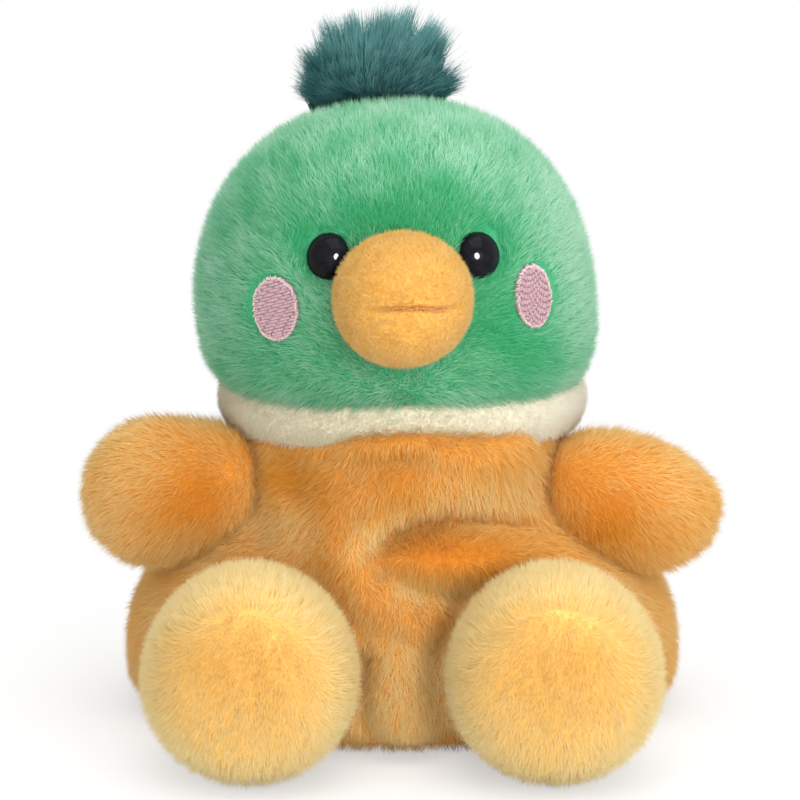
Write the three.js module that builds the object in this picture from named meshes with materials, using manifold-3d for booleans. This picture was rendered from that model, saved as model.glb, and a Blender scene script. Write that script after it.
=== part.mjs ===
// A small sitting duck in plush, filled with beans and fibre, of the size that fits in a palm.
// Each panel of plush fabric is a shell with its own thickness. Inside are a pouch of beans, the fibre filling of
// every swelling, and the washers that lock the eyes. Lengths are in millimetres. +Z is up, the duck looks along -Y,
// the floor is z = 0 and the origin is the middle of the flat base. Left and right are the duck's own, so left is +X.
import * as THREE from "three";
import { mergeVertices } from "three/addons/utils/BufferGeometryUtils.js";
import Module from "manifold-3d";

const { degToRad } = THREE.MathUtils;
const wasm = await Module();
wasm.setup();

// The cloth and how closely pieces sit.
const skin = 2.6; // plush fabric, its knitted back and its pile together
const gap = 0.3; // clearance between pieces that lie against each other
const overrun = 6; // how far a cutting block reaches past what it cuts

// The body: a slack bag with a flat base, wide hips and a narrow chest.
const bodyWidth = 99.4;
const bodyFront = 37;
const bodyBack = 35;
const bodyHeight = 48;
const bodySquareness = 2.25;
const baseSeamHeight = 4;
const sideSeamShift = 1.5;
const pouchHeight = 27;
// Height, width and depth at points up the body's outline.
const bodyOutlineShares = [
  [0, 0.9, 0.9],
  [0.045, 0.955, 0.955],
  [0.12, 0.99, 0.99],
  [0.22, 1, 1],
  [0.34, 0.99, 1],
  [0.44, 0.955, 0.985],
  [0.55, 0.875, 0.95],
  [0.67, 0.755, 0.9],
  [0.79, 0.655, 0.845],
  [0.9, 0.615, 0.79],
  [1, 0.62, 0.735],
];
// The creases of the slack front: both ends as shares of the half width and the height, then depth and breadth.
const foldShares = [
  [-0.08, 0.6, 0.1, 0.755, 0.1, 0.1],
  [0.1, 0.755, 0.34, 0.78, 0.12, 0.1],
  [0.34, 0.78, 0.56, 0.73, 0.11, 0.1],
  [0.13, 0.46, 0.13, 0.02, 0.065, 0.08],
  [-0.15, 0.36, -0.13, 0.1, 0.05, 0.07],
  [-0.46, 0.9, -0.43, 0.98, 0.07, 0.11],
];
// Creases fade out between these shares of the front's reach, so they stay off the sides.
const foldFadeShares = [0.2, 0.75];

// The neck: a white band round a wad of fibre, which lets the head nod, tilt and turn.
const collarWidth = 66;
const collarDepth = 56;
const collarHeight = 13;
const neckRise = 2.5; // from the body's top edge up to the lowest point of the head
const neckSeat = 4; // how far the wad reaches down into the body's neck
const neckOpeningRadius = 21;
// Height and width at points up the band.
const collarOutlineShares = [
  [0, 0.96],
  [0.5, 1],
  [1, 0.96],
];

// The head: a dome, fuller at the cheeks than at the crown, turned and rolled a little as it sits.
const headWidth = 72.8;
const headFront = 31;
const headBack = 31;
const headRise = 39.9; // from the widest ring up to the crown
const headDrop = 19.7; // from the widest ring down to the chin
const headCrownSquareness = 2.3;
const headChinSquareness = 3;
const headSquareness = 2.15;
const headSeamShift = 5; // the seam over the crown lies this far behind the middle
const headTurnDegrees = 3;
const headRollDegrees = -1.5;

// The tuft of long pile, sewn into the seam over the crown.
const tuftWidth = 30;
const tuftDepth = 15;
const tuftHeight = 15.5;
const tuftRoot = 9; // how far the form reaches down behind the crown before the head cuts it
const tuftShift = -2.4;
const tuftSquareness = { up: 2.4, down: 2.4, plan: 2.2 };
const backingWidth = 25;
const backingThickness = 1.2;

// The beak: a stuffed ball sewn on the face, with a stitched mouth.
const beakWidth = 24.4;
const beakHeight = 23.6;
const beakReach = 14.5; // from the face to the tip
const beakLift = 8;
const beakShift = -0.6;
const beakRoot = 7;
const beakSquareness = { up: 2.15, down: 2.6, plan: 2.05 };
const mouthWidth = 14;
const mouthThread = 0.7;

// The eyes: moulded domes with a shank through the cloth and a washer behind it.
const eyeDiameter = 8;
const eyeDomeHeight = 4.6;
const eyeRim = 0.7;
const eyeSink = 1.5; // how deep the dome sits in the pile
const eyeInset = 22.2; // from the widest point of the head in to the middle of the eye
const eyeLift = 15;
const shankDiameter = 2.4;
const shankLength = 8;
const washerDiameter = 9;
const washerThickness = 1.2;
const eyeSides = 20;

// The cheeks: embroidered ovals that press the pile down.
const cheekWidth = 8.8;
const cheekHeight = 11;
const cheekThickness = 0.9;
const cheekSink = 0.4;
const leftCheekInset = 14; // from the widest point of the head in to the middle of the patch
const leftCheekLift = 6.6;
const rightCheekInset = 13.6;
const rightCheekLift = 5;
const cheekSides = 20;

// The wings: paddles sewn into the side seams, which swing to and fro about the line of their seam.
const wingLength = 29.5;
const wingHeight = 28;
const wingThickness = 21;
const wingSeamInset = 3.2; // how far the seam lies inside the chest's side
const wingSeamDrop = 9.5; // from the body's top edge down to the middle of the seam
const wingForward = 6;
const leftWingDroopDegrees = 10;
const rightWingDroopDegrees = 4;
const wingSwingBackDegrees = -15;
const wingSwingForwardDegrees = 30;
// Distance out, height and thickness at points along a wing.
const wingOutlineShares = [
  [0, 0.6, 0.3],
  [0.1, 0.72, 0.5],
  [0.3, 0.93, 0.85],
  [0.5, 1, 1],
  [0.7, 0.95, 0.96],
  [0.85, 0.78, 0.78],
  [0.95, 0.5, 0.5],
  [1, 0, 0],
];

// The feet: puffed discs with a sole seam, which flex at the seam behind the ankle.
const footWidth = 37;
const footHeight = 37.4;
const footLength = 42.5; // from the hidden heel to the tip of the sole
const footSpacing = 50.4;
const footReach = 25.5; // how far the sole's middle stands in front of the body
const footSettle = 0.5; // the flat that the foot rests on is cut this deep
const footHingeHeight = 11;
const footSoleSetback = 6.5; // from the tip of the sole back to its seam
const footFlexDownDegrees = -6;
const footFlexUpDegrees = 15;
// Distance forward from the heel and radius at points along a foot.
const footOutlineShares = [
  [0, 0.6],
  [0.28, 0.76],
  [0.44, 0.93],
  [0.6, 1],
  [0.74, 0.985],
  [0.85, 0.9],
  [0.93, 0.75],
  [0.98, 0.49],
  [1, 0],
];

// The tail: a short stuffed point low on the back.
const tailWidth = 23;
const tailHeight = 14;
const tailLength = 23;
const tailLift = 15;
const tailInset = 5;
const tailUpturnDegrees = 35;
const tailFlickDegrees = 15;
const tailOutlineShares = [
  [0, 0.85],
  [0.25, 1],
  [0.5, 0.92],
  [0.75, 0.66],
  [0.92, 0.34],
  [1, 0],
];

const pileGreen = new THREE.MeshStandardMaterial({ color: 0x3fae7a, roughness: 0.9 });
const pileTeal = new THREE.MeshStandardMaterial({ color: 0x2f6f73, roughness: 0.85 });
const pileWhite = new THREE.MeshStandardMaterial({ color: 0xf0ebdf, roughness: 0.9 });
const pileOrange = new THREE.MeshStandardMaterial({ color: 0xe0923c, roughness: 0.9 });
const pileYellow = new THREE.MeshStandardMaterial({ color: 0xf6cf73, roughness: 0.9 });
const pileAmber = new THREE.MeshStandardMaterial({ color: 0xefb352, roughness: 0.9 });
const glossBlack = new THREE.MeshStandardMaterial({ color: 0x0b0b0c, roughness: 0.12 });
const washerNylon = new THREE.MeshStandardMaterial({ color: 0xe6e4dc, roughness: 0.5 });
const pinkThread = new THREE.MeshStandardMaterial({ color: 0xd29bb0, roughness: 0.55 });
const orangeThread = new THREE.MeshStandardMaterial({ color: 0xd9712a, roughness: 0.6 });
const fibreWhite = new THREE.MeshStandardMaterial({ color: 0xf7f6f2, roughness: 1 });
const pouchCloth = new THREE.MeshStandardMaterial({ color: 0xd9d6cc, roughness: 0.8 });
const knitBacking = new THREE.MeshStandardMaterial({ color: 0x235a5e, roughness: 0.9 });

// How finely each form is drawn: steps round its front, round its back, and along it.
const outerGrid = { front: 26, back: 12, along: 15 };
const innerGrid = { front: 14, back: 8, along: 9 };
const headGrid = { front: 14, back: 10, along: 12 };
const headInnerGrid = { front: 10, back: 7, along: 8 };
const limbGrid = { front: 8, back: 8, along: 9 };
const limbInnerGrid = { front: 6, back: 6, along: 6 };
const smallGrid = { front: 6, back: 6, along: 6 };
const swingSteps = 3;
const mouthSteps = 12;
const threadSides = 8;

// A closed three.js geometry as a solid.
function solidOf(geometry) {
  const bare = geometry.clone();
  bare.deleteAttribute("normal");
  bare.deleteAttribute("uv");
  const merged = mergeVertices(bare);
  return new wasm.Manifold(
    new wasm.Mesh({
      numProp: 3,
      vertProperties: new Float32Array(merged.attributes.position.array),
      triVerts: new Uint32Array(merged.index.array),
    }),
  );
}

// A solid as a named mesh.
function meshOf(name, solid, material) {
  const made = solid.getMesh();
  const geometry = new THREE.BufferGeometry();
  geometry.setAttribute("position", new THREE.BufferAttribute(made.vertProperties, 3));
  geometry.setIndex(new THREE.BufferAttribute(made.triVerts, 1));
  const mesh = new THREE.Mesh(geometry.toNonIndexed(), material);
  mesh.geometry.computeVertexNormals();
  mesh.name = name;
  return mesh;
}

// A block between two corners.
function block(low, high) {
  const size = high.map((value, axis) => value - low[axis]);
  const geometry = new THREE.BoxGeometry(...size);
  geometry.translate(...low.map((value, axis) => value + size[axis] / 2));
  return solidOf(geometry);
}

// An oval bar along z.
function ovalBar(halfWidth, halfHeight, low, high, sides) {
  const geometry = new THREE.CylinderGeometry(1, 1, high - low, sides);
  geometry.rotateX(Math.PI / 2);
  geometry.translate(0, 0, (low + high) / 2);
  geometry.scale(halfWidth, halfHeight, 1);
  return solidOf(geometry);
}

// A point of an oval whose front (-y) and back (+y) may reach differently. A squareness of 2 is an ellipse.
function ovalPoint(ring, angle) {
  const power = 2 / ring.squareness;
  const across = Math.cos(angle);
  const deep = Math.sin(angle);
  const reach = deep < 0 ? ring.front : ring.back;
  return [
    ring.x * Math.sign(across) * Math.abs(across) ** power,
    reach * Math.sign(deep) * Math.abs(deep) ** power,
    ring.z,
  ];
}

// One closed solid through a stack of ovals, from the lowest up. A ring with no width is a pole.
function ringSolid(rings, grid, shape = (point) => point) {
  const around = grid.front + grid.back;
  const angles = Array.from({ length: around }, (_, i) =>
    i < grid.back ? (Math.PI * i) / grid.back : Math.PI * (1 + (i - grid.back) / grid.front),
  );
  const points = [];
  const faces = [];
  const starts = rings.map((ring) => {
    const start = points.length;
    if (ring.x === 0) points.push([0, 0, ring.z]);
    else for (const angle of angles) points.push(shape(ovalPoint(ring, angle)));
    return start;
  });
  for (let r = 0; r + 1 < rings.length; r++) {
    for (let i = 0; i < around; i++) {
      const next = (i + 1) % around;
      const low = rings[r].x === 0 ? [starts[r], starts[r]] : [starts[r] + i, starts[r] + next];
      const high = rings[r + 1].x === 0
        ? [starts[r + 1], starts[r + 1]]
        : [starts[r + 1] + i, starts[r + 1] + next];
      if (low[0] !== low[1]) faces.push([low[0], low[1], high[1]]);
      if (high[0] !== high[1]) faces.push([low[0], high[1], high[0]]);
    }
  }
  for (const [index, upward] of [[0, false], [rings.length - 1, true]]) {
    if (rings[index].x === 0) continue;
    const middle = points.push([0, 0, rings[index].z]) - 1;
    for (let i = 0; i < around; i++) {
      const here = starts[index] + i;
      const next = starts[index] + ((i + 1) % around);
      faces.push(upward ? [middle, here, next] : [middle, next, here]);
    }
  }
  return new wasm.Manifold(
    new wasm.Mesh({
      numProp: 3,
      vertProperties: new Float32Array(points.flat()),
      triVerts: new Uint32Array(faces.flat()),
    }),
  );
}

// Rings of a stuffed ball whose upper and lower halves may reach and round differently.
function ballRings(half, rounding, steps) {
  return Array.from({ length: steps + 1 }, (_, i) => {
    const angle = Math.PI * (1 - i / steps);
    const lower = Math.cos(angle) < 0;
    const power = 2 / (lower ? rounding.down : rounding.up);
    const pole = i === 0 || i === steps;
    const width = pole ? 0 : Math.sin(angle) ** power;
    const rise = Math.sign(Math.cos(angle)) * Math.abs(Math.cos(angle)) ** power;
    return {
      z: rise * (lower ? half.down : half.up),
      x: half.x * width,
      front: half.front * width,
      back: half.back * width,
      squareness: rounding.plan,
    };
  });
}

// Points evenly spaced along a smooth outline through a table of shares.
function sampled(shares, steps) {
  const curve = new THREE.CatmullRomCurve3(
    shares.map(([along, wide, deep = wide]) => new THREE.Vector3(along, wide, deep)),
    false,
    "centripetal",
  );
  return curve.getSpacedPoints(steps);
}

// Rings of a limb that starts flat at its seam and ends in a round tip at `length`.
function limbRings(shares, length, halfWidth, halfDepth, steps, inset) {
  return sampled(shares, steps).map((point, i) => {
    const tip = i === steps;
    const along = point.x * (length - inset);
    return {
      z: i === 0 ? -overrun * (inset > 0 ? 1 : 0) : along,
      x: tip ? 0 : Math.max(point.y * halfWidth - inset, gap),
      front: tip ? 0 : Math.max(point.z * halfDepth - inset, gap),
      back: tip ? 0 : Math.max(point.z * halfDepth - inset, gap),
      squareness: 2,
    };
  });
}

// How far a crease pulls in the body's front at a point.
function foldDepth(x, z) {
  const halfWidth = bodyWidth / 2;
  return foldShares.reduce((total, [x1, z1, x2, z2, depth, breadth]) => {
    const from = new THREE.Vector2(x1 * halfWidth, z1 * bodyHeight);
    const run = new THREE.Vector2(x2 * halfWidth, z2 * bodyHeight).sub(from);
    const here = new THREE.Vector2(x, z).sub(from);
    const along = THREE.MathUtils.clamp(here.dot(run) / run.lengthSq(), 0, 1);
    const away = here.addScaledVector(run, -along).length() / (breadth * halfWidth);
    return Math.max(total, depth * bodyFront * Math.exp(-away * away));
  }, 0);
}

// The body's form, drawn in or let out by `inset`. An inset form runs on past the neck edge.
function bodyForm(inset, grid) {
  const rings = sampled(bodyOutlineShares, grid.along).map((point) => ({
    z: Math.max(point.x * bodyHeight, inset),
    x: (point.y * bodyWidth) / 2 - inset,
    front: point.z * bodyFront - inset,
    back: point.z * bodyBack - inset,
    squareness: bodySquareness,
  }));
  const kept = rings.filter((ring, i) => i === 0 || ring.z > rings[i - 1].z);
  if (inset !== 0) kept.push({ ...kept[kept.length - 1], z: bodyHeight + overrun });
  if (inset < 0) kept[0].z = inset;
  return ringSolid(kept, grid, ([x, y, z]) => {
    const facing = THREE.MathUtils.smoothstep(-y / bodyFront, ...foldFadeShares);
    return [x, y + foldDepth(x, z) * facing, z];
  });
}

// The head's form about its own widest ring.
function headForm(inset, grid) {
  const half = {
    x: headWidth / 2 - inset,
    front: headFront - inset,
    back: headBack - inset,
    up: headRise - inset,
    down: headDrop - inset,
  };
  const rounding = { up: headCrownSquareness, down: headChinSquareness, plan: headSquareness };
  return ringSolid(ballRings(half, rounding, grid.along), grid);
}

// Where a solid stands once its group is placed.
function placed(solid, group) {
  group.updateWorldMatrix(true, false);
  return solid.transform(group.matrixWorld.elements);
}

// A solid of the whole object as seen from inside a group.
function seenFrom(group, solid) {
  group.updateWorldMatrix(true, false);
  return solid.transform(group.matrixWorld.clone().invert().elements);
}

// A piece with the room taken out that a neighbour needs as the piece turns about a line through its whole range.
function clearedOver(solid, group, neighbour, hinge) {
  let cleared = solid;
  for (let i = 0; i <= swingSteps; i++) {
    const angle = THREE.MathUtils.lerp(hinge.low, hinge.high, i / swingSteps);
    const turn = new THREE.Matrix4().makeRotationAxis(hinge.axis, -angle);
    const toHinge = new THREE.Matrix4().makeTranslation(hinge.point);
    const fromHinge = toHinge.clone().invert();
    const swung = neighbour.transform(toHinge.multiply(turn).multiply(fromHinge).elements);
    cleared = cleared.subtract(seenFrom(group, swung));
  }
  return cleared;
}

const duck = new THREE.Group();
const wide = bodyWidth + overrun;
const deep = bodyFront + bodyBack + overrun;
const tall = bodyHeight + overrun;

// The body's panels, its pouch and its filling.
const bodyOuter = bodyForm(0, outerGrid);
const bodyGrown = bodyForm(-gap, outerGrid);
const bodyShell = bodyOuter.subtract(bodyForm(skin, innerGrid));
const bodyCore = bodyForm(skin + gap, innerGrid);
const belowBaseSeam = block([-wide, -deep, -overrun], [wide, deep, baseSeamHeight - gap / 2]);
const aboveBaseSeam = block([-wide, -deep, baseSeamHeight + gap / 2], [wide, deep, tall]);
const aheadOfSideSeam = block([-wide, -deep, 0], [wide, sideSeamShift - gap / 2, tall]);
const behindSideSeam = block([-wide, sideSeamShift + gap / 2, 0], [wide, deep, tall]);
const bodyWalls = bodyShell.intersect(aboveBaseSeam);
duck.add(
  meshOf("body_base_panel", bodyShell.intersect(belowBaseSeam), pileOrange),
  meshOf("body_front_panel", bodyWalls.intersect(aheadOfSideSeam), pileOrange),
  meshOf("body_back_panel", bodyWalls.intersect(behindSideSeam), pileOrange),
  meshOf("bean_pouch", bodyCore.intersect(block([-wide, -deep, 0], [wide, deep, pouchHeight])), pouchCloth),
  meshOf(
    "body_filling",
    bodyCore.intersect(block([-wide, -deep, pouchHeight + gap], [wide, deep, bodyHeight - neckSeat])),
    fibreWhite,
  ),
);

// The head stands on the neck, turned and rolled about the neck's middle.
const neckHeight = bodyHeight + neckRise;
const headGroup = new THREE.Group();
headGroup.position.z = neckHeight;
headGroup.rotation.set(0, degToRad(headRollDegrees), degToRad(headTurnDegrees));
const headCentre = new THREE.Group();
headCentre.position.z = headDrop;
headGroup.add(headCentre);
duck.add(headGroup);

const headHole = ovalBar(neckOpeningRadius, neckOpeningRadius, -headDrop - overrun, 0, eyeSides);
const headShell = headForm(0, headGrid).subtract(headForm(skin, headInnerGrid)).subtract(headHole);

// The head's surface at a place on its face, as a frame whose z points out of the cloth and whose y points up.
function onFace(x, z) {
  const rounding = z > 0 ? headCrownSquareness : headChinSquareness;
  const reach = z > 0 ? headRise : headDrop;
  const ringShare = (1 - Math.abs(z / reach) ** rounding) ** (1 / rounding);
  const across = Math.abs(x / ((headWidth / 2) * ringShare));
  const y = -headFront * ringShare * (1 - across ** headSquareness) ** (1 / headSquareness);
  const out = new THREE.Vector3(
    (Math.sign(x) * across ** (headSquareness - 1)) / (headWidth / 2),
    (Math.sign(y) * Math.abs(y / (headFront * ringShare)) ** (headSquareness - 1)) / headFront,
    (Math.sign(z) * Math.abs(z / reach) ** (rounding - 1)) / (reach * ringShare ** (rounding - 1)),
  ).normalize();
  const side = new THREE.Vector3(0, 0, 1).cross(out).normalize();
  const frame = new THREE.Group();
  frame.position.set(x, y, z);
  frame.quaternion.setFromRotationMatrix(
    new THREE.Matrix4().makeBasis(side, out.clone().cross(side), out),
  );
  frame.updateMatrix();
  return frame;
}

// A solid drawn in a frame on the face, moved to the head's own frame.
function onHead(solid, frame) {
  return solid.transform(frame.matrix.elements);
}

// An eye about its own axis: the dome in front of z = 0 and the shank behind it.
function eyeSolid() {
  const radius = eyeDiameter / 2;
  const domeSteps = 6;
  const dome = Array.from({ length: domeSteps + 1 }, (_, i) => {
    const angle = (Math.PI / 2) * (i / domeSteps);
    return new THREE.Vector2(
      i === 0 ? 0 : radius * Math.sin(angle),
      eyeRim + (eyeDomeHeight - eyeRim) * Math.cos(angle),
    );
  });
  const profile = [
    ...dome,
    new THREE.Vector2(radius, 0),
    new THREE.Vector2(shankDiameter / 2, 0),
    new THREE.Vector2(shankDiameter / 2, -shankLength),
    new THREE.Vector2(0, -shankLength),
  ].reverse();
  const geometry = new THREE.LatheGeometry(profile, eyeSides);
  geometry.rotateX(Math.PI / 2);
  return solidOf(geometry);
}

let frontShell = headShell;
let headCore = headForm(skin + gap, headInnerGrid);
const eyeRoom = eyeDiameter / 2 + gap;
const shankRoom = shankDiameter / 2 + gap;
const washerSag = (washerDiameter / 2) ** 2 / (2 * headFront);
const washerDepth = skin - eyeSink + washerSag + gap;
const eyeRooms = [];
for (const [side, sign] of [["left", 1], ["right", -1]]) {
  const frame = onFace(sign * (headWidth / 2 - eyeInset), eyeLift);
  frame.translateZ(-eyeSink);
  frame.updateMatrix();
  const recess = ovalBar(eyeRoom, eyeRoom, -gap, eyeDomeHeight + gap, eyeSides);
  eyeRooms.push(onHead(recess, frame));
  const shankHole = ovalBar(shankRoom, shankRoom, -shankLength - gap, overrun, eyeSides);
  const washerRoom = ovalBar(
    washerDiameter / 2 + gap,
    washerDiameter / 2 + gap,
    -washerDepth - washerThickness - gap,
    overrun,
    eyeSides,
  );
  const washerSeat = ovalBar(
    washerDiameter / 2 + gap,
    washerDiameter / 2 + gap,
    -shankLength,
    -washerDepth + gap,
    eyeSides,
  );
  frontShell = frontShell.subtract(onHead(recess.add(shankHole).add(washerSeat), frame));
  headCore = headCore.subtract(onHead(washerRoom.add(shankHole), frame));
  const washer = ovalBar(
    washerDiameter / 2,
    washerDiameter / 2,
    -washerDepth - washerThickness,
    -washerDepth,
    eyeSides,
  ).subtract(shankHole);
  frame.add(
    meshOf(side + "_eye", eyeSolid(), glossBlack),
    meshOf(side + "_eye_washer", washer, washerNylon),
  );
  headCentre.add(frame);
}

for (const [side, sign, inset, lift] of [
  ["left", 1, leftCheekInset, leftCheekLift],
  ["right", -1, rightCheekInset, rightCheekLift],
]) {
  const frame = onFace(sign * (headWidth / 2 - inset), lift);
  const patchBar = ovalBar(cheekWidth / 2, cheekHeight / 2, -overrun, overrun, cheekSides);
  const roomBar = ovalBar(cheekWidth / 2 + gap, cheekHeight / 2 + gap, -overrun, overrun, cheekSides);
  const under = cheekSink + cheekThickness;
  const patch = onHead(patchBar, frame)
    .intersect(headForm(cheekSink, headGrid))
    .subtract(headForm(under, headGrid));
  frontShell = frontShell.subtract(onHead(roomBar, frame).subtract(headForm(under + gap, headGrid)));
  headCentre.add(meshOf(side + "_cheek_embroidery", patch, pinkThread));
}

const headReach = headWidth + overrun;
const aheadOfCrownSeam = block(
  [-headReach, -headReach, -headReach],
  [headReach, headSeamShift - gap / 2, headReach],
);
const behindCrownSeam = block(
  [-headReach, headSeamShift + gap / 2, -headReach],
  [headReach, headReach, headReach],
);
const backingStart = headSeamShift + gap / 2;
const backingBlock = block(
  [tuftShift - backingWidth / 2, backingStart, headRise / 2],
  [tuftShift + backingWidth / 2, backingStart + backingThickness, headReach],
);
const backingRoom = block(
  [tuftShift - backingWidth / 2 - gap, backingStart - gap, headRise / 2 - gap],
  [tuftShift + backingWidth / 2 + gap, backingStart + backingThickness + gap, headReach],
);
headCentre.add(
  meshOf("head_front_panel", frontShell.intersect(aheadOfCrownSeam), pileGreen),
  meshOf("head_back_panel", headShell.intersect(behindCrownSeam).subtract(backingRoom), pileGreen),
  meshOf("head_filling", headCore, fibreWhite),
  meshOf("tuft_backing", headShell.intersect(backingBlock), knitBacking),
);

// The tuft's pile as the plain form that its fibres fill.
const tuftRings = ballRings(
  {
    x: tuftWidth / 2,
    front: tuftDepth / 2,
    back: tuftDepth / 2,
    up: tuftHeight,
    down: tuftRoot,
  },
  tuftSquareness,
  smallGrid.along + 1,
);
const tuftForm = ringSolid(tuftRings, smallGrid)
  .translate(tuftShift, backingStart + backingThickness / 2, headRise)
  .subtract(headForm(-gap, headGrid));
headCentre.add(meshOf("tuft_pile", tuftForm, pileTeal));

// The beak's forms point along +z of their own group, which looks forward from the face.
const beakFrame = new THREE.Group();
beakFrame.position.set(beakShift, -headFront, beakLift);
beakFrame.rotation.x = Math.PI / 2;
headCentre.add(beakFrame);
function beakForm(inset) {
  const half = {
    x: beakWidth / 2 - inset,
    front: beakHeight / 2 - inset,
    back: beakHeight / 2 - inset,
    up: beakReach - inset,
    down: beakRoot + overrun,
  };
  return ringSolid(ballRings(half, beakSquareness, limbGrid.along), limbGrid);
}
// The mouth's thread follows the beak's surface from side to side.
function mouthTube(radius) {
  const points = Array.from({ length: mouthSteps + 1 }, (_, i) => {
    const x = mouthWidth * (i / mouthSteps - 1 / 2);
    const z = beakReach * Math.sqrt(1 - (x / (beakWidth / 2)) ** 2);
    return new THREE.Vector3(x, 0, z - mouthThread / 2);
  });
  const section = new THREE.Shape().absarc(0, 0, radius, 0, 2 * Math.PI);
  return solidOf(
    new THREE.ExtrudeGeometry(section, {
      extrudePath: new THREE.CatmullRomCurve3(points),
      steps: mouthSteps,
      curveSegments: threadSides / 2,
      bevelEnabled: false,
    }),
  );
}
beakFrame.updateMatrix();
const toBeak = beakFrame.matrix.clone().invert().elements;
const behindBeak = eyeRooms.reduce((all, room) => all.add(room), headForm(-gap, headGrid)).transform(toBeak);
const beakShell = beakForm(0).subtract(beakForm(skin)).subtract(mouthTube(mouthThread / 2 + gap));
beakFrame.add(
  meshOf("beak_skin", beakShell.subtract(behindBeak), pileAmber),
  meshOf("beak_filling", beakForm(skin + gap).subtract(behindBeak), fibreWhite),
  meshOf("mouth_stitch", mouthTube(mouthThread / 2), orangeThread),
);

// The neck's band and wadding lie between the body's top edge and the underside of the head.
const headInPlace = placed(headForm(-gap, headGrid), headCentre);
function neckForm(inset) {
  const rings = collarOutlineShares.map(([up, wide]) => ({
    z: bodyHeight + gap + up * collarHeight,
    x: (wide * collarWidth) / 2 - inset,
    front: (wide * collarDepth) / 2 - inset,
    back: (wide * collarDepth) / 2 - inset,
    squareness: 2,
  }));
  return ringSolid(rings, headGrid);
}
const plugTop = neckHeight + skin;
const neckPlug = ovalBar(
  neckOpeningRadius - 2 * gap,
  neckOpeningRadius - 2 * gap,
  bodyHeight - neckSeat + gap,
  plugTop,
  eyeSides,
).subtract(placed(headCore, headCentre).translate(0, 0, -gap));
duck.add(
  meshOf("collar_band", neckForm(0).subtract(neckForm(skin)).subtract(headInPlace), pileWhite),
  meshOf("neck_wadding", neckForm(skin + gap).subtract(headInPlace).add(neckPlug), fibreWhite),
);

// A wing of two panels over its filling. Its group's z points out along the wing and its x points up or down.
function addWing(side, sign, droop) {
  const chestHalf = (bodyOutlineShares[8][1] * bodyWidth) / 2;
  const group = new THREE.Group();
  group.position.set(sign * (chestHalf - wingSeamInset), -wingForward, bodyHeight - wingSeamDrop);
  group.rotation.y = sign * (Math.PI / 2 + droop);
  duck.add(group);
  const hinge = {
    point: group.position.clone(),
    axis: new THREE.Vector3(0, 0, -sign),
    low: degToRad(wingSwingBackDegrees),
    high: degToRad(wingSwingForwardDegrees),
  };
  const form = (inset, grid) =>
    ringSolid(
      limbRings(wingOutlineShares, wingLength, wingHeight / 2, wingThickness / 2, grid.along, inset),
      grid,
    );
  const shell = form(0, limbGrid).subtract(form(skin, limbInnerGrid));
  const reach = wingLength + wingHeight;
  const ahead = block([-reach, -reach, -reach], [reach, -gap / 2, reach]);
  const behind = block([-reach, gap / 2, -reach], [reach, reach, reach]);
  const shellCleared = clearedOver(shell, group, bodyGrown, hinge);
  group.add(
    meshOf(side + "_wing_front_panel", shellCleared.intersect(ahead), pileOrange),
    meshOf(side + "_wing_back_panel", shellCleared.intersect(behind), pileOrange),
    meshOf(
      side + "_wing_filling",
      clearedOver(form(skin + gap, limbInnerGrid), group, bodyGrown, hinge),
      fibreWhite,
    ),
  );
}
addWing("left", 1, degToRad(leftWingDroopDegrees));
addWing("right", -1, degToRad(rightWingDroopDegrees));

// A foot of an upper and a sole over its filling. Its group's z points forward and its y points up.
function addFoot(side, sign) {
  const group = new THREE.Group();
  const height = footHeight / 2 - footSettle;
  group.position.set((sign * footSpacing) / 2, footLength - bodyFront - footReach, height);
  group.rotation.x = Math.PI / 2;
  duck.add(group);
  const hinge = {
    point: new THREE.Vector3(group.position.x, -bodyFront, footHingeHeight),
    axis: new THREE.Vector3(-1, 0, 0),
    low: degToRad(footFlexDownDegrees),
    high: degToRad(footFlexUpDegrees),
  };
  const form = (inset, grid) =>
    ringSolid(
      limbRings(footOutlineShares, footLength, footWidth / 2, footHeight / 2, grid.along, inset),
      grid,
    );
  const reach = footLength + footHeight;
  const floor = block([-reach, -reach, -reach], [reach, -height, reach]);
  const floorInside = block([-reach, -reach, -reach], [reach, skin + gap - height, reach]);
  const seam = footLength - footSoleSetback;
  const soleSide = block([-reach, -reach, seam + gap / 2], [reach, reach, reach]);
  const ankleSide = block([-reach, -reach, -reach], [reach, reach, seam - gap / 2]);
  const shell = clearedOver(form(0, limbGrid), group, bodyGrown, hinge)
    .subtract(form(skin, limbInnerGrid))
    .subtract(floor);
  const filling = clearedOver(form(skin + gap, limbInnerGrid), group, bodyGrown, hinge);
  group.add(
    meshOf(side + "_foot_upper", shell.intersect(ankleSide), pileYellow),
    meshOf(side + "_foot_sole", shell.intersect(soleSide), pileYellow),
    meshOf(side + "_foot_filling", filling.subtract(floorInside), fibreWhite),
  );
}
addFoot("left", 1);
addFoot("right", -1);

// The tail, whose group's z points back and up.
const tailGroup = new THREE.Group();
tailGroup.position.set(0, bodyBack - tailInset, tailLift);
tailGroup.rotation.x = degToRad(tailUpturnDegrees) - Math.PI / 2;
duck.add(tailGroup);
const tailHinge = {
  point: new THREE.Vector3(0, bodyBack, tailLift),
  axis: new THREE.Vector3(1, 0, 0),
  low: -degToRad(tailFlickDegrees),
  high: degToRad(tailFlickDegrees),
};
function tailForm(inset) {
  return ringSolid(
    limbRings(tailOutlineShares, tailLength, tailWidth / 2, tailHeight / 2, smallGrid.along, inset),
    smallGrid,
  );
}
tailGroup.add(
  meshOf(
    "tail_skin",
    clearedOver(tailForm(0).subtract(tailForm(skin)), tailGroup, bodyGrown, tailHinge),
    pileOrange,
  ),
  meshOf("tail_filling", clearedOver(tailForm(skin + gap), tailGroup, bodyGrown, tailHinge), fibreWhite),
);

export default duck;
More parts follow.
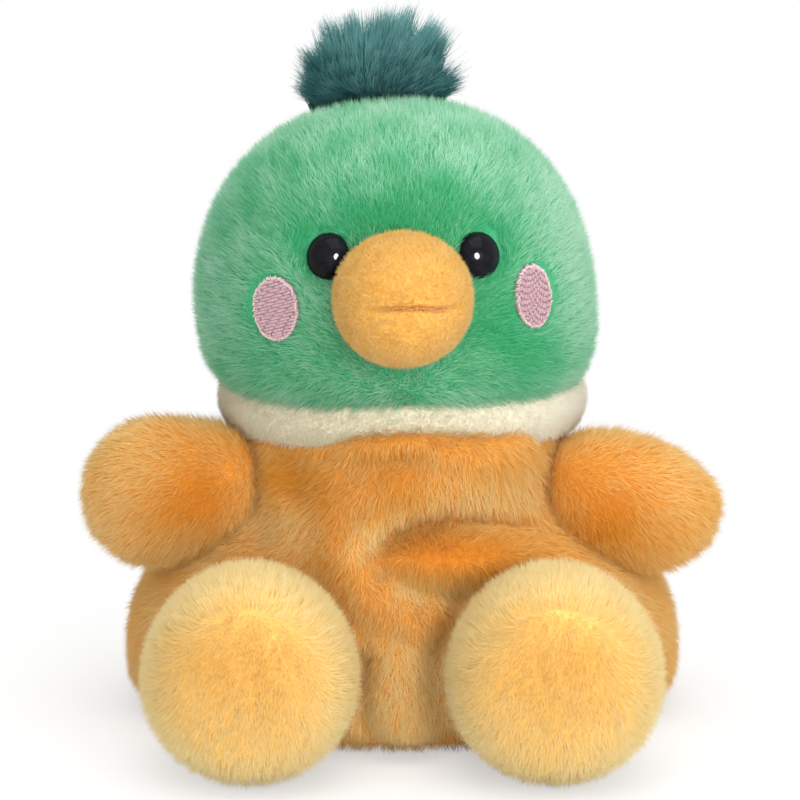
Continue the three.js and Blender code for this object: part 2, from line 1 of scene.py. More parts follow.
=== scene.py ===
# %% [markdown]
# A small sitting duck in plush: a green head with a tuft of long pile, a stuffed beak, a slack orange
# body with beans in its seat, two paddle wings and two puffed feet. Plush is a knitted cloth with a fur
# of cut fibres on it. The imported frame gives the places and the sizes; this script only gives the looks
# around it.

# %% Load the frame
import math

import bpy
import numpy as np
from mathutils import Matrix, Vector


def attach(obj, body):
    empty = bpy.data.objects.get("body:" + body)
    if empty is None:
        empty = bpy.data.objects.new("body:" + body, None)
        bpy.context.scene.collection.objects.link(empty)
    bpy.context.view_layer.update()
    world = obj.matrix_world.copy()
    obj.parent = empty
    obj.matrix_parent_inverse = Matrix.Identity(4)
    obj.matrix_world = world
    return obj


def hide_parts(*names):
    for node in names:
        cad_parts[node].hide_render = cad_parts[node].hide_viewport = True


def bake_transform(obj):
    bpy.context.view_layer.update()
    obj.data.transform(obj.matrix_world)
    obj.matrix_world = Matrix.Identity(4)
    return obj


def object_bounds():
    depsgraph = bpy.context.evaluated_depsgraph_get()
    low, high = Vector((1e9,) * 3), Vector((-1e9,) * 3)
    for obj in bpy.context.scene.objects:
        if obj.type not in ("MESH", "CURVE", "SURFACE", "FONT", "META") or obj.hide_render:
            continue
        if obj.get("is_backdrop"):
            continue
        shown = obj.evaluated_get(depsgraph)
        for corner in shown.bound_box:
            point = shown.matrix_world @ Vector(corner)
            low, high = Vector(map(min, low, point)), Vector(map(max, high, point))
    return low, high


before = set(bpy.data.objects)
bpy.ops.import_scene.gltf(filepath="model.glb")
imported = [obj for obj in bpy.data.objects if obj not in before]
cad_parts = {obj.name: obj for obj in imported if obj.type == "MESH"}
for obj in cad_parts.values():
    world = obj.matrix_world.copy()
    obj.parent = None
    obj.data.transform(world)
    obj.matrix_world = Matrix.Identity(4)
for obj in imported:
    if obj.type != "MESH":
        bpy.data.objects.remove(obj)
cad_low, cad_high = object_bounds()
MM = 0.001
print("frame box in mm", [round((b - a) / MM, 1) for a, b in zip(cad_low, cad_high)])

# %% [markdown]
# The camera comes first, because the look is judged from its place. The photograph was taken from a
# little above, about the length of an arm away, so the view has a weak perspective, which a long lens
# gives too.

# %% Camera
CAMERA_DISTANCE = 600 * MM
CAMERA_ELEVATION = math.radians(12)
VIEW_WIDTH = 141 * MM  # what the square picture spans at the middle of the toy
AIM = Vector((-0.4 * MM, 0, 54.4 * MM))
SENSOR = 36


def placed(name, data):
    """A new object in the scene."""
    ob = bpy.data.objects.new(name, data)
    bpy.context.scene.collection.objects.link(ob)
    return ob


camera = placed("camera", bpy.data.cameras.new("camera"))
away = Vector((0, -math.cos(CAMERA_ELEVATION), math.sin(CAMERA_ELEVATION)))
camera.location = AIM + away * CAMERA_DISTANCE
camera.rotation_euler = (math.pi / 2 - CAMERA_ELEVATION, 0, 0)
camera.data.sensor_width = SENSOR
camera.data.lens = SENSOR * CAMERA_DISTANCE / VIEW_WIDTH
camera.data.clip_start = 10 * MM
bpy.context.scene.camera = camera
bpy.context.scene.view_settings.view_transform = "Standard"
print("lens in mm", round(camera.data.lens, 1))

# %% [markdown]
# Every colour is written as the hex value that a screen shows. Blender works in linear light, so one
# function turns it. A second small function adds a node with its settings and its links. Most finishes of
# the toy are one procedural texture seen through a colour ramp, so one more function makes such a
# material.


# %% Colour and node helpers
def linear(hex_colour):
    parts = [int(hex_colour[i : i + 2], 16) / 255 for i in (1, 3, 5)]
    return (*(c / 12.92 if c <= 0.04045 else ((c + 0.055) / 1.055) ** 2.4 for c in parts), 1)


def add(tree, kind, links=None, stops=(), **settings):
    """One node. A setting names a property or a socket, stops are the (place, hex) pairs of a colour ramp,
    and links maps a socket to the output that feeds it."""
    node = tree.nodes.new(kind)
    for name, value in settings.items():
        if hasattr(node, name):
            setattr(node, name, value)
        else:
            node.inputs[name.replace("_", " ")].default_value = value
    for k, (place, colour) in enumerate(stops):
        if k >= len(node.color_ramp.elements):
            node.color_ramp.elements.new(place)
        node.color_ramp.elements[k].position = place
        node.color_ramp.elements[k].color = linear(colour)
    for socket, output in (links or {}).items():
        tree.links.new(output, node.inputs[socket])
    return node


def empty_tree(owner):
    """The cleared node tree of a material or a world."""
    owner.use_nodes = True
    owner.node_tree.nodes.clear()
    return owner.node_tree


def new_material(name, **shader):
    """A material with one Principled shader, whose constants are set on its own sockets."""
    material = bpy.data.materials.new(name)
    tree = empty_tree(material)
    surface = add(tree, "ShaderNodeBsdfPrincipled", **shader)
    add(tree, "ShaderNodeOutputMaterial", {"Surface": surface.outputs[0]})
    return material, tree, surface


def patterned(name, kind, texture, stops, crossed=None, bump=None, rough=None, **shader):
    """A material tinted by one procedural texture. A second one can cross it, and it can stand out as a bump
    of a strength and a height, or let the roughness vary between two values."""
    material, tree, surface = new_material(name, **shader)
    place = add(tree, "ShaderNodeTexCoord").outputs["Object"]
    marks = add(tree, kind, {"Vector": place}, **texture).outputs[0]
    if crossed:
        other = add(tree, kind, {"Vector": place}, **texture, **crossed).outputs[0]
        marks = add(tree, "ShaderNodeMath", {0: marks, 1: other}, operation="MULTIPLY").outputs[0]
    ends = {"Base Color": add(tree, "ShaderNodeValToRGB", {"Fac": marks}, stops)}
    if bump:
        ends["Normal"] = add(tree, "ShaderNodeBump", {"Height": marks}, Strength=bump[0], Distance=bump[1])
    if rough:
        limits = {"To_Min": rough[0], "To_Max": rough[1]}
        ends["Roughness"] = add(tree, "ShaderNodeMapRange", {"Value": marks}, **limits)
    for socket, node in ends.items():
        tree.links.new(node.outputs[0], surface.inputs[socket])
    return material


# %% [markdown]
# The stage is a plain pale floor that keeps a soft shadow and fades to the white of the background. Such
# toys are photographed in a light tent, so most of the light comes from the pale room itself. A big soft
# lamp in front and to the right gives the form, one above lifts the crown, and two weak ones open the
# shade on the left and low in front. The last lamp makes the small round light in each eye, and will
# light nothing else.

# %% Stage and light
FLOOR_HALF = 1.5
FADE_START, FADE_END, FADE_NEAR = 40 * MM, 110 * MM, 0.5
ROOM_LIGHT = 0.81
LAMPS = {  # shape, size in mm, watts and place in mm
    "key_front_right": ("DISK", 480, 1.95, (300, -580, 210)),
    "fill_left": ("SQUARE", 500, 0.4, (-480, -450, 120)),
    "fill_low": ("SQUARE", 400, 0.8, (20, -640, 70)),
    "top": ("SQUARE", 600, 2.6, (60, -160, 660)),
    "catchlight": ("DISK", 270, 42, (170, -560, 190)),
}


def background_rays(tree):
    """1 for the rays that should find the white background: seen, mirrored or passing through."""
    path = add(tree, "ShaderNodeLightPath")
    seen = path.outputs["Is Camera Ray"]
    for other in ("Is Glossy Ray", "Is Transmission Ray"):
        seen = add(tree, "ShaderNodeMath", {0: seen, 1: path.outputs[other]}, operation="MAXIMUM").outputs[0]
    return seen


def whitened(tree, own, white, share, output):
    """Wires a mix to an output: its own look, or plain white by a share."""
    mixed = add(tree, "ShaderNodeMixShader", {0: share, 1: own.outputs[0], 2: white.outputs[0]})
    add(tree, output, {"Surface": mixed.outputs[0]})


def make_floor():
    mesh = bpy.data.meshes.new("floor")
    corners = [(x * FLOOR_HALF, y * FLOOR_HALF, 0) for x, y in ((-1, -1), (1, -1), (1, 1), (-1, 1))]
    mesh.from_pydata(corners, [], [(0, 1, 2, 3)])
    material = bpy.data.materials.new("pale_paper_floor")
    tree = empty_tree(material)
    place = add(tree, "ShaderNodeTexCoord").outputs["Object"]
    far = add(tree, "ShaderNodeVectorMath", {0: place}, operation="LENGTH").outputs["Value"]
    limits = {"From_Min": FADE_START, "From_Max": FADE_END, "To_Min": FADE_NEAR}
    fade = add(tree, "ShaderNodeMapRange", {"Value": far}, interpolation_type="SMOOTHSTEP", **limits)
    wires = {0: fade.outputs["Result"], 1: background_rays(tree)}
    share = add(tree, "ShaderNodeMath", wires, operation="MULTIPLY").outputs[0]
    paper = add(tree, "ShaderNodeBsdfDiffuse", Color=linear("#f4f3f0"))
    white = add(tree, "ShaderNodeEmission", Color=linear("#ffffff"))
    whitened(tree, paper, white, share, "ShaderNodeOutputMaterial")
    mesh.materials.append(material)
    placed("floor", mesh)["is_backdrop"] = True


def make_world():
    world = bpy.data.worlds.new("studio")
    bpy.context.scene.world = world
    tree = empty_tree(world)
    soft = add(tree, "ShaderNodeBackground", Color=linear("#f4f6f8"), Strength=ROOM_LIGHT)
    white = add(tree, "ShaderNodeBackground", Color=linear("#ffffff"), Strength=1.0)
    whitened(tree, soft, white, background_rays(tree), "ShaderNodeOutputWorld")


def make_lamp(name, shape, size, power, place):
    data = bpy.data.lights.new(name, "AREA")
    data.shape, data.size, data.energy = shape, size * MM, power
    lamp = placed(name, data)
    lamp.location = [v * MM for v in place]
    lamp.rotation_euler = (Vector([v * MM for v in place]) - AIM).to_track_quat("Z", "Y").to_euler()
    return lamp


make_floor()
make_world()
lamps = {name: make_lamp(name, *row) for name, row in LAMPS.items()}
print("stage ready,", len(lamps), "lamps")

# %% [markdown]
# Every stuffed form of the toy is a stack of ovals: round in plan, with a half width, a front reach and a
# back reach at each height. One function makes the points of such a stack as a grid, so that a form can
# be bent or creased afterwards, and one more turns the grid into a closed mesh. The same formulas gave
# the plain solids of the frame.


# %% Oval forms
def oval_stack(heights, half_x, front, back, power, around):
    """A grid (rings, around, 3) of points. A power of 2 is an ellipse; more is squarer."""
    angles = np.linspace(0, 2 * np.pi, around, endpoint=False) - np.pi
    across, deep = np.cos(angles), np.sin(angles)
    grid = np.zeros((len(heights), around, 3))
    reach = np.where(deep[None] < 0, np.array(front)[:, None], np.array(back)[:, None])
    grid[..., 0] = np.array(half_x)[:, None] * np.sign(across) * np.abs(across) ** (2 / power)
    grid[..., 1] = reach * np.sign(deep) * np.abs(deep) ** (2 / power)
    grid[..., 2] = np.array(heights)[:, None]
    return grid


def ball_rings(up, down, rings, power_up, power_down):
    """Heights and widths (as shares of the widest) of a ball whose halves reach and round differently."""
    angle = np.linspace(np.pi, 0, rings)
    lower = np.cos(angle) < 0
    power = np.where(lower, 2 / power_down, 2 / power_up)
    width = np.clip(np.sin(angle), 1e-4, 1) ** power
    rise = np.sign(np.cos(angle)) * np.abs(np.cos(angle)) ** power
    return rise * np.where(lower, down, up), width


def curve_through(rows, count):
    """Evenly spaced points on a smooth curve through the rows of a table."""
    rows = np.array(rows, float)
    slope = np.gradient(rows, axis=0)
    place = np.linspace(0, len(rows) - 1, 60 * len(rows))
    i = np.minimum(place.astype(int), len(rows) - 2)
    t = (place - i)[:, None]
    curve = (2 * t**3 - 3 * t**2 + 1) * rows[i] + (t**3 - 2 * t**2 + t) * slope[i]
    curve += (3 * t**2 - 2 * t**3) * rows[i + 1] + (t**3 - t**2) * slope[i + 1]
    run = np.append(0, np.cumsum(np.linalg.norm(np.diff(curve, axis=0), axis=1)))
    even = np.linspace(0, run[-1], count)
    return np.stack([np.interp(even, run, curve[:, k]) for k in range(rows.shape[1])], 1)


def grid_quads(rings, around):
    r, a = np.meshgrid(np.arange(rings - 1), np.arange(around), indexing="ij")
    b = (a + 1) % around
    quads = np.stack([r * around + a, r * around + b, (r + 1) * around + b, (r + 1) * around + a], -1)
    return quads.reshape(-1, 4)


# %% [markdown]
# Creases, seams and shades all fall off softly, so a few small functions give soft steps, bells and spots.
# Others turn points and directions, and pull a form in along its own outward directions, as a seam does.


# %% Soft steps and directions
def smooth_step(value, low, high):
    t = np.clip((value - low) / (high - low), 0, 1)
    return t * t * (3 - 2 * t)


def bell(away, width):
    """1 at a line or a spot, falling off softly over a width."""
    return np.exp(-((away / width) ** 2))


def soft_spots(x, z, table):
    """The sum of soft spots at places. Each row of the table is a middle (x, z), half sizes and a height."""
    return sum(h * np.exp(-(((x - a) / hx) ** 2) - ((z - b) / hz) ** 2) for a, b, hx, hz, h in table)


def turned(points, matrix):
    """Points moved by a 4x4 matrix."""
    m = np.array(matrix)
    return points @ m[:3, :3].T + m[:3, 3]


def spin_of(matrix):
    """The turning part of a matrix, for directions."""
    return matrix.to_3x3().to_4x4()


def unit(vectors):
    return vectors / (np.linalg.norm(vectors, axis=-1, keepdims=True) + 1e-12)


def grid_normals(grid):
    rings, around, _ = grid.shape
    points = grid.reshape(-1, 3)
    quads = grid_quads(rings, around)
    cross = np.cross(points[quads[:, 2]] - points[quads[:, 0]], points[quads[:, 3]] - points[quads[:, 1]])
    normals = np.zeros_like(points)
    for k in range(4):
        np.add.at(normals, quads[:, k], cross)
    return unit(normals).reshape(grid.shape)


def pulled_in(grid, depth):
    """The grid with its points pulled into the form by a depth, as a seam or a stitch does."""
    return grid - grid_normals(grid) * depth[..., None]


# %% [markdown]
# A grid becomes a mesh that is closed at both ends by a fan, or joined to itself as round a tyre. Then it
# is sewn on: it rides on a body of the frame and stands for some of the frame's pieces, which it hides.


# %% Meshes and pieces
def show(name, mesh, material):
    mesh.materials.append(material)
    mesh.shade_smooth()
    return placed(name, mesh)


def solid(name, points, faces, material):
    mesh = bpy.data.meshes.new(name)
    mesh.from_pydata(points.tolist(), [], faces)
    return show(name, mesh, material)


def closed_grid(name, grid, material):
    """A mesh from a grid whose first and last rings are closed by a fan."""
    rings, around, _ = grid.shape
    points = np.concatenate([grid.reshape(-1, 3), [grid[0].mean(0), grid[-1].mean(0)]])
    last = (rings - 1) * around
    fans = [(rings * around, (a + 1) % around, a) for a in range(around)]
    fans += [(rings * around + 1, last + a, last + (a + 1) % around) for a in range(around)]
    return solid(name, points, grid_quads(rings, around).tolist() + fans, material)


def ring_grid(name, grid, material):
    """A mesh from a grid whose last ring joins its first, as round a tyre."""
    rings, around, _ = grid.shape
    quads = grid_quads(rings + 1, around) % (rings * around)
    return solid(name, grid.reshape(-1, 3), quads.tolist(), material)


def sewn_on(ob, body, slot, *nodes, fill=None):
    """The piece rides on a body and stands for some nodes, which it hides. slot, the name of its finish, is
    not used. fill, how full a padded cloth is, is not used."""
    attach(ob, body)
    if nodes:
        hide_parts(*nodes)
    return ob


# %% [markdown]
# The pile is real geometry: each fibre is a thin closed spike that stands on the cloth, leans with the
# nap and ends in a point. Hair curves would be lighter, but meshes are what every other program reads.
# Fibres are scattered by area, so that they are as dense on a tight curve as on a flat. A sum of random
# waves gives the wandering of the nap, because neighbours lean alike. Each fibre's own tone and its
# height from root to tip are kept in a UV map, and the colour is drawn from it: saturated and darker at
# the root and paler at the tip, which paints the shade deep in the pile and the light on its tips.

# %% Pile helpers
PILE_DENSITY = 13  # fibres on a square millimetre
LEAN_SPREAD = 0.16
LENGTH_SPREAD = (0.72, 1.15)
# Painted glints: a share of fibres is painted paler, standing in for fibres that catch the light.
GLINT_SHARE, GLINT = 0.09, (0.25, 0.6)  # the share of bright fibres, and how much brighter they are


def waves(points, wavelength, seed, width=1, count=14):
    """A smooth random field of about unit size that varies over a wavelength."""
    rng = np.random.default_rng(seed)
    total = np.zeros((len(points), width))
    for k in range(width):
        steps = unit(rng.normal(size=(count, 3))) * (2 * np.pi / wavelength)
        steps = steps * rng.uniform(0.6, 1.5, (count, 1))
        phase = rng.uniform(0, 2 * np.pi, count)
        total[:, k] = np.sin(points @ steps.T + phase).sum(1) * math.sqrt(2 / count)
    return total


def clouds(points, wavelength, seed):
    return waves(points, wavelength, seed)[:, 0]


def scatter(grid, per_mm2, seed):
    """Points and normals spread evenly over a grid's surface."""
    rings, around, _ = grid.shape
    points, normals = grid.reshape(-1, 3), grid_normals(grid).reshape(-1, 3)
    quads = grid_quads(rings, around)
    triangles = np.concatenate([quads[:, [0, 1, 2]], quads[:, [0, 2, 3]]])
    rng = np.random.default_rng(seed)
    a, b, c = (points[triangles[:, k]] for k in range(3))
    area = np.linalg.norm(np.cross(b - a, c - a), axis=1) / 2
    count = int(area.sum() / MM**2 * per_mm2)
    pick = rng.choice(len(triangles), count, p=area / area.sum())
    s, t = np.sqrt(rng.random(count))[:, None], rng.random(count)[:, None]
    share = [1 - s, s * (1 - t), s * t]
    at = sum(w * points[triangles[pick, k]] for k, w in enumerate(share))
    return at, unit(sum(w * normals[triangles[pick, k]] for k, w in enumerate(share)))


def laid(directions, normals):
    """Directions laid into the surface."""
    return unit(directions - (directions * normals).sum(1, keepdims=True) * normals)


def brushed(at, out, nap, lean, seed, ruffle=0.22, clump=2.6 * MM):
    """The direction of each fibre: along the nap, ruffled, and raised by the lean above the cloth."""
    rng = np.random.default_rng(seed)
    lean = np.broadcast_to(lean, len(at)) + rng.normal(0, LEAN_SPREAD, len(at))
    loose = waves(at, clump, seed + 1, 3) + rng.normal(size=(len(at), 3))
    flow = laid(laid(nap, out) + ruffle * loose, out)
    return unit(flow * np.cos(lean)[:, None] + out * np.sin(lean)[:, None])


def toned(tone, seed, spread=0.09):
    """Each fibre's tone: its place's own, a little chance, and now and then a fibre painted pale as a
    painted glint.
    """
    rng = np.random.default_rng(seed)
    glint = (rng.random(len(tone)) < GLINT_SHARE) * rng.uniform(*GLINT, len(tone))
    return np.clip(tone + spread * rng.normal(size=len(tone)) + glint, 0.02, 0.98)


# %% [markdown]
# The spikes of one piece are made all at once. Their shading follows the cloth under them, bent a little
# towards the round of each fibre, so that the fur looks soft.

# %% Fibre meshes
UV_NAME = "OFBake"
ROOT_V, BASE_V, TIP_V = 0.03, 0.05, 0.97
TONE_HALF = 0.012
ROOT_SUNK = 0.15 * MM
FIBRE = 0.125 * MM
FIBRE_ROUND = 1.1  # how far a fibre shades as the round thread it is, rather than as the cloth under it
TIP_LIFT = 0.4  # how far its tip shades along its own direction


def fibre_mesh(name, verts, corners, us, vs, shade, material):
    """A mesh of triangles with a UV map and normals that follow the cloth, so that the fur shades softly."""
    mesh = bpy.data.meshes.new(name)
    count = len(corners) // 3
    mesh.vertices.add(len(verts))
    mesh.vertices.foreach_set("co", verts.astype(np.float32).ravel())
    mesh.loops.add(len(corners))
    mesh.loops.foreach_set("vertex_index", corners.astype(np.int32))
    mesh.polygons.add(count)
    mesh.polygons.foreach_set("loop_start", np.arange(0, 3 * count, 3, dtype=np.int32))
    mesh.update(calc_edges=True)
    uv = np.stack([us.reshape(-1)[corners], vs.reshape(-1)[corners]], 1)
    mesh.uv_layers.new(name=UV_NAME).uv.foreach_set("vector", uv.astype(np.float32).ravel())
    ob = show(name, mesh, material)
    mesh.normals_split_custom_set_from_vertices(shade.astype(np.float32))
    print(name, count, "triangles")
    return ob


def spikes(name, at, out, aim, length, width, tone, material, seed):
    """One closed three-sided spike for each root."""
    n = len(at)
    side = unit(np.cross(aim, out))
    other = np.cross(aim, side)
    turn = np.random.default_rng(seed).uniform(0, 2 * np.pi, n)
    verts, bends = np.zeros((n, 4, 3)), np.zeros((n, 4, 3))
    for k in range(3):
        angle = (turn + k * 2 * np.pi / 3)[:, None]
        bends[:, k] = side * np.cos(angle) + other * np.sin(angle)
        verts[:, k] = at - out * ROOT_SUNK + bends[:, k] * (width / 2)
    verts[:, 3] = at + aim * length[:, None]
    bends[:, 3] = aim * TIP_LIFT
    shade = unit((out[:, None, :] + bends * FIBRE_ROUND).reshape(-1, 3))
    faces = np.array([[0, 1, 3], [1, 2, 3], [2, 0, 3], [2, 1, 0]])
    corners = (np.arange(n)[:, None, None] * 4 + faces).reshape(-1)
    us = np.stack([tone - TONE_HALF, tone + TONE_HALF, tone, tone], 1)
    vs = np.broadcast_to(np.array([ROOT_V, ROOT_V, BASE_V, TIP_V]), (n, 4))
    return fibre_mesh(name, verts.reshape(-1, 3), corners, us, vs, shade, material)


def grow(name, at, out, aim, length, tone, material, seed, width=FIBRE, place=Matrix(), split=False):
    """The fibres of one form as spikes. A big form is split into quarters, so that no piece is too heavy."""
    front, left = at[:, 1] < 0, at[:, 0] >= 0
    parts = {name: np.ones(len(at), bool)}
    if split:
        ends = {"front": front, "back": ~front}
        sides = {"left": left, "right": ~left}
        parts = {f"{name}_{end}_{side}": ends[end] & sides[side] for end in ends for side in sides}
    at, out, aim = turned(at, place), turned(out, spin_of(place)), turned(aim, spin_of(place))
    rows = ((part, at[m], out[m], aim[m], length[m], width, tone[m]) for part, m in parts.items())
    return [spikes(*row, material, seed) for row in rows]


# %% [markdown]
# Three kinds of finish serve the whole toy. Cut pile takes its colours from the fibres' map, between a
# deep and a pale set. The knitted cloth under it is seen only between the roots. The filling, wads of
# crimped polyester, isn't seen on the closed toy, but a cut or an exploded view shows it. Each wad has
# the form of its cloth and lies a little deeper.

# %% Plush, knit and filling
PILE_STOPS = (0.0, 0.45, 1.0)
KNIT_LOOP = 0.5 * MM
PILE_DEPTH = 2.1 * MM
WAD_DEPTH = PILE_DEPTH + 0.9 * MM
SEAM_WIDTH, SEAM_DEPTH = 1.1 * MM, 0.7 * MM


# The deep end of the tone is painted shade and the deep glow of standing pile, the pale end painted sheen.
# Where a piece lays its tone by place, it paints light and shade with it.
def plush_finish(name, deep, pale, roughness=0.6):
    """The finish of cut pile. deep and pale are the (root, middle, tip) colours at both ends of the tone."""
    sheen = {"Sheen_Weight": 0.32, "Sheen_Roughness": 0.4, "Sheen_Tint": linear(pale[1])}
    gloss = {"Roughness": roughness, "IOR": 1.5, "Specular_IOR_Level": 0.3}
    material, tree, surface = new_material(name, **gloss, **sheen)
    place = add(tree, "ShaderNodeUVMap", uv_map=UV_NAME)
    split = add(tree, "ShaderNodeSeparateXYZ", {0: place.outputs[0]})
    low, high = (
        add(tree, "ShaderNodeValToRGB", {"Fac": split.outputs[1]}, zip(PILE_STOPS, colours)).outputs[0]
        for colours in (deep, pale)
    )
    wires = {0: split.outputs[0], 6: low, 7: high}
    mix = add(tree, "ShaderNodeMix", wires, data_type="RGBA", blend_type="MIX")
    tree.links.new(mix.outputs[2], surface.inputs["Base Color"])
    return material


def knit_finish(name, colour, dark):
    """The knitted cloth that carries the pile."""
    stops = [(0.1, colour), (0.9, dark)]
    texture = {"Scale": 1 / KNIT_LOOP}
    gloss = {"Roughness": 0.9, "Sheen_Weight": 0.2}
    return patterned(name, "ShaderNodeTexVoronoi", texture, stops, bump=(0.4, 0.1 * MM), **gloss)


filling = patterned(
    "crimped_polyester_filling",
    "ShaderNodeTexNoise",
    {"Scale": 900, "Detail": 6, "Distortion": 2},
    [(0.35, "#dcdad2"), (0.65, "#faf9f6")],
    bump=(0.8, 0.4 * MM),
    Roughness=0.95,
    Sheen_Weight=0.4,
)


def wad(name, grid, body, node):
    """A wad of filling as a piece on a body."""
    return sewn_on(closed_grid(name, grid, filling), body, "fibre_white", node)


def parted(away, width=SEAM_WIDTH):
    """Shorter pile in a seam's valley, where away is the distance from the seam."""
    return 1 - 0.45 * bell(away, width)


print("finishes ready, the cloth lies", PILE_DEPTH / MM, "mm under the frame's solids")

# %% [markdown]
# The head is a stuffed dome, fuller at the cheeks than at the crown. It sits turned and rolled by a few
# degrees. Its cloth lies as deep under the frame's solid as the pile is high. The eyes, the cheeks and
# the beak have a known place on it, so a function gives the head's surface and its outward direction at
# any place of the face.

# %% Head form
NECK_HEIGHT = 50.5 * MM
HEAD_SEAT = 19.7 * MM
HEAD_TURN, HEAD_ROLL = math.radians(3), math.radians(-3.5)
HEAD_HALF_WIDTH, HEAD_REACH, HEAD_RISE, HEAD_DROP = 35.9 * MM, 31 * MM, 38.3 * MM, 18.7 * MM
CROWN_POWER, CHIN_POWER, HEAD_POWER = 2.25, 3, 2.15
HEAD_SEAM = 5 * MM
CHEEK_HOLLOW, HOLLOW_DROP, HOLLOW_WIDTH = 1.0 * MM, 7 * MM, 9 * MM  # the duck's right cheek is less full
CHIN_LEVEL = 0.07  # the lower edge is rolled back by this slope, so it lies nearly level on the neck band
head_place = (
    Matrix.Translation((0, 0, NECK_HEIGHT))
    @ Matrix.Rotation(HEAD_ROLL, 4, "Y")
    @ Matrix.Rotation(HEAD_TURN, 4, "Z")
    @ Matrix.Translation((0, 0, HEAD_SEAT))
)


def head_grid(inset, rings, around):
    """The head's form about its own widest ring."""
    heights, width = ball_rings(HEAD_RISE - inset, HEAD_DROP - inset, rings, CROWN_POWER, CHIN_POWER)
    reach = (HEAD_REACH - inset) * width
    grid = oval_stack(heights, (HEAD_HALF_WIDTH - inset) * width, reach, reach, HEAD_POWER, around)
    right = smooth_step(-grid[..., 0] / HEAD_HALF_WIDTH, 0.4, 1)
    grid[..., 0] += CHEEK_HOLLOW * right * bell(grid[..., 2] + HOLLOW_DROP, HOLLOW_WIDTH)
    grid[..., 2] -= CHIN_LEVEL * grid[..., 0] * smooth_step(-grid[..., 2] / HEAD_DROP, 0.15, 0.7)
    return grid


def face_depth(x, z, inset=0.0):
    """The y of the head's front surface at a place of the face."""
    power = np.where(z > 0, CROWN_POWER, CHIN_POWER)
    reach = np.where(z > 0, HEAD_RISE, HEAD_DROP) - inset
    ring = np.clip(1 - np.abs(z / reach) ** power, 0, 1) ** (1 / power)
    across = np.abs(x) / ((HEAD_HALF_WIDTH - inset) * np.maximum(ring, 1e-6))
    return -(HEAD_REACH - inset) * ring * np.clip(1 - across**HEAD_POWER, 0, 1) ** (1 / HEAD_POWER)


def face_frame(x, z):
    """A frame on the face whose z points out of the cloth and whose y points up."""
    step = 0.05 * MM
    slope_x = float(face_depth(x + step, z) - face_depth(x - step, z)) / (2 * step)
    slope_z = float(face_depth(x, z + step) - face_depth(x, z - step)) / (2 * step)
    out = Vector((slope_x, -1, slope_z)).normalized()
    side = Vector((0, 0, 1)).cross(out).normalized()
    axes = Matrix((side, out.cross(side), out)).transposed()
    return Matrix.Translation((x, float(face_depth(x, z)), z)) @ axes.to_4x4()


print("head's widest ring stands at mm", round((NECK_HEIGHT + HEAD_SEAT) / MM, 1))

# %% [markdown]
# Plush is sewn inside out, so a seam shows as a narrow valley where the pile parts. The head's one seam
# runs over the crown, a little behind its middle.

# %% Head cloth
green_knit = knit_finish("knit_backing_green", "#3fa873", "#2f9462")
head_local = head_grid(PILE_DEPTH, 90, 160)
head_local = pulled_in(head_local, bell(head_local[..., 1] - HEAD_SEAM, SEAM_WIDTH) * SEAM_DEPTH)
head_cloth = closed_grid("head_cloth", turned(head_local, head_place), green_knit)
sewn_on(head_cloth, "head", "pile_green", "head_front_panel", "head_back_panel", fill=0.85)


# %% [markdown]
# The nap of the head runs up and outward from the chin. The cheeks and the beak press the pile down, and
# round each eye it leans over the dome's edge, where a painted shade darkens it. It lies flatter at the
# crown and the sides, which are painted pale as painted sheen, and stands up between the eyes, which are
# painted the deep green one sees looking down to the roots. The side towards the key lamp is painted
# paler and the far side darker, as painted light and shade.

# %% Head pile
EYE_SPOTS = {"left": (15.0 * MM, 13.9 * MM), "right": (-12.9 * MM, 15.5 * MM)}
CHEEK_SPOTS = {"left": (22.6 * MM, 5.3 * MM), "right": (-21.1 * MM, 6.4 * MM)}
CHEEK_HALF_WIDTH = {"left": 3.9 * MM, "right": 4.4 * MM}
CHEEK_HALF_HEIGHT = 5.5 * MM
EYE_RADIUS = 4 * MM
EYE_HUG = 0.9  # how far the pile beside an eye leans over its edge
EYE_SHADE, EYE_SHADE_REACH = 0.8, 1.5
BEAK_SPOT, BEAK_HALF = (0.1 * MM, 8 * MM), 12 * MM
# What presses the pile down: place, half sizes, the share of them that is bare, where the pile starts to
# rise, and its shortest length.
PRESSED = [(spot, EYE_RADIUS * 0.86, EYE_RADIUS, 0.82, 0.6, 0.75) for spot in EYE_SPOTS.values()]
PRESSED += [
    (spot, CHEEK_HALF_WIDTH[side], CHEEK_HALF_HEIGHT, 1.0, 0.75, 0.45) for side, spot in CHEEK_SPOTS.items()
]
PRESSED_RISE = 0.5  # over this share of its size the pile rises to its full length
BEAK_BARE, CHIN_BARE = 0.86, 0.97  # shares of the beak's size and of the head's drop
HEAD_LENGTH, HEAD_RUFFLE, HEAD_SPREAD = 2.5 * MM, 0.3, 0.13
HEAD_TONE, HEAD_CLOUD, HEAD_CLOUD_SIZE = 0.54, 0.1, 9 * MM
HEAD_LEAN, HEAD_LEAN_BY_TONE, HEAD_LEAN_RANGE = 50, 45, (44, 68)  # in degrees
# Spots of painted light and shade on the head's front in mm: middle (x, z), half sizes and change of
# tone; minus is the deep green.
HEAD_SHEEN_SHADE_SPOTS = [
    (2, 20, 13, 5.5, -0.62), (16, 5, 6, 8, -0.52), (20, -4, 10, 7, -0.42), (-21, -4, 9, 8, -0.22),
    (-1, -9, 6, 4, 0.3), (31, 12, 8, 18, 0.42), (20, 28, 12, 8, 0.16), (-24, 24, 12, 10, -0.26),
]  # fmt: skip
green_pile = plush_finish(
    "dyed_polyester_pile_green", ("#2aa266", "#30ac6e", "#4cbd84"), ("#66c092", "#98d5b0", "#d6f2da")
)


def near_oval(points, spot, half_x, half_z):
    """How far points lie from a spot of the face, as a share of its size; 1 is its edge, the back is far."""
    share = np.hypot((points[:, 0] - spot[0]) / half_x, (points[:, 2] - spot[1]) / half_z)
    return np.where(points[:, 1] < 0, share, 9)


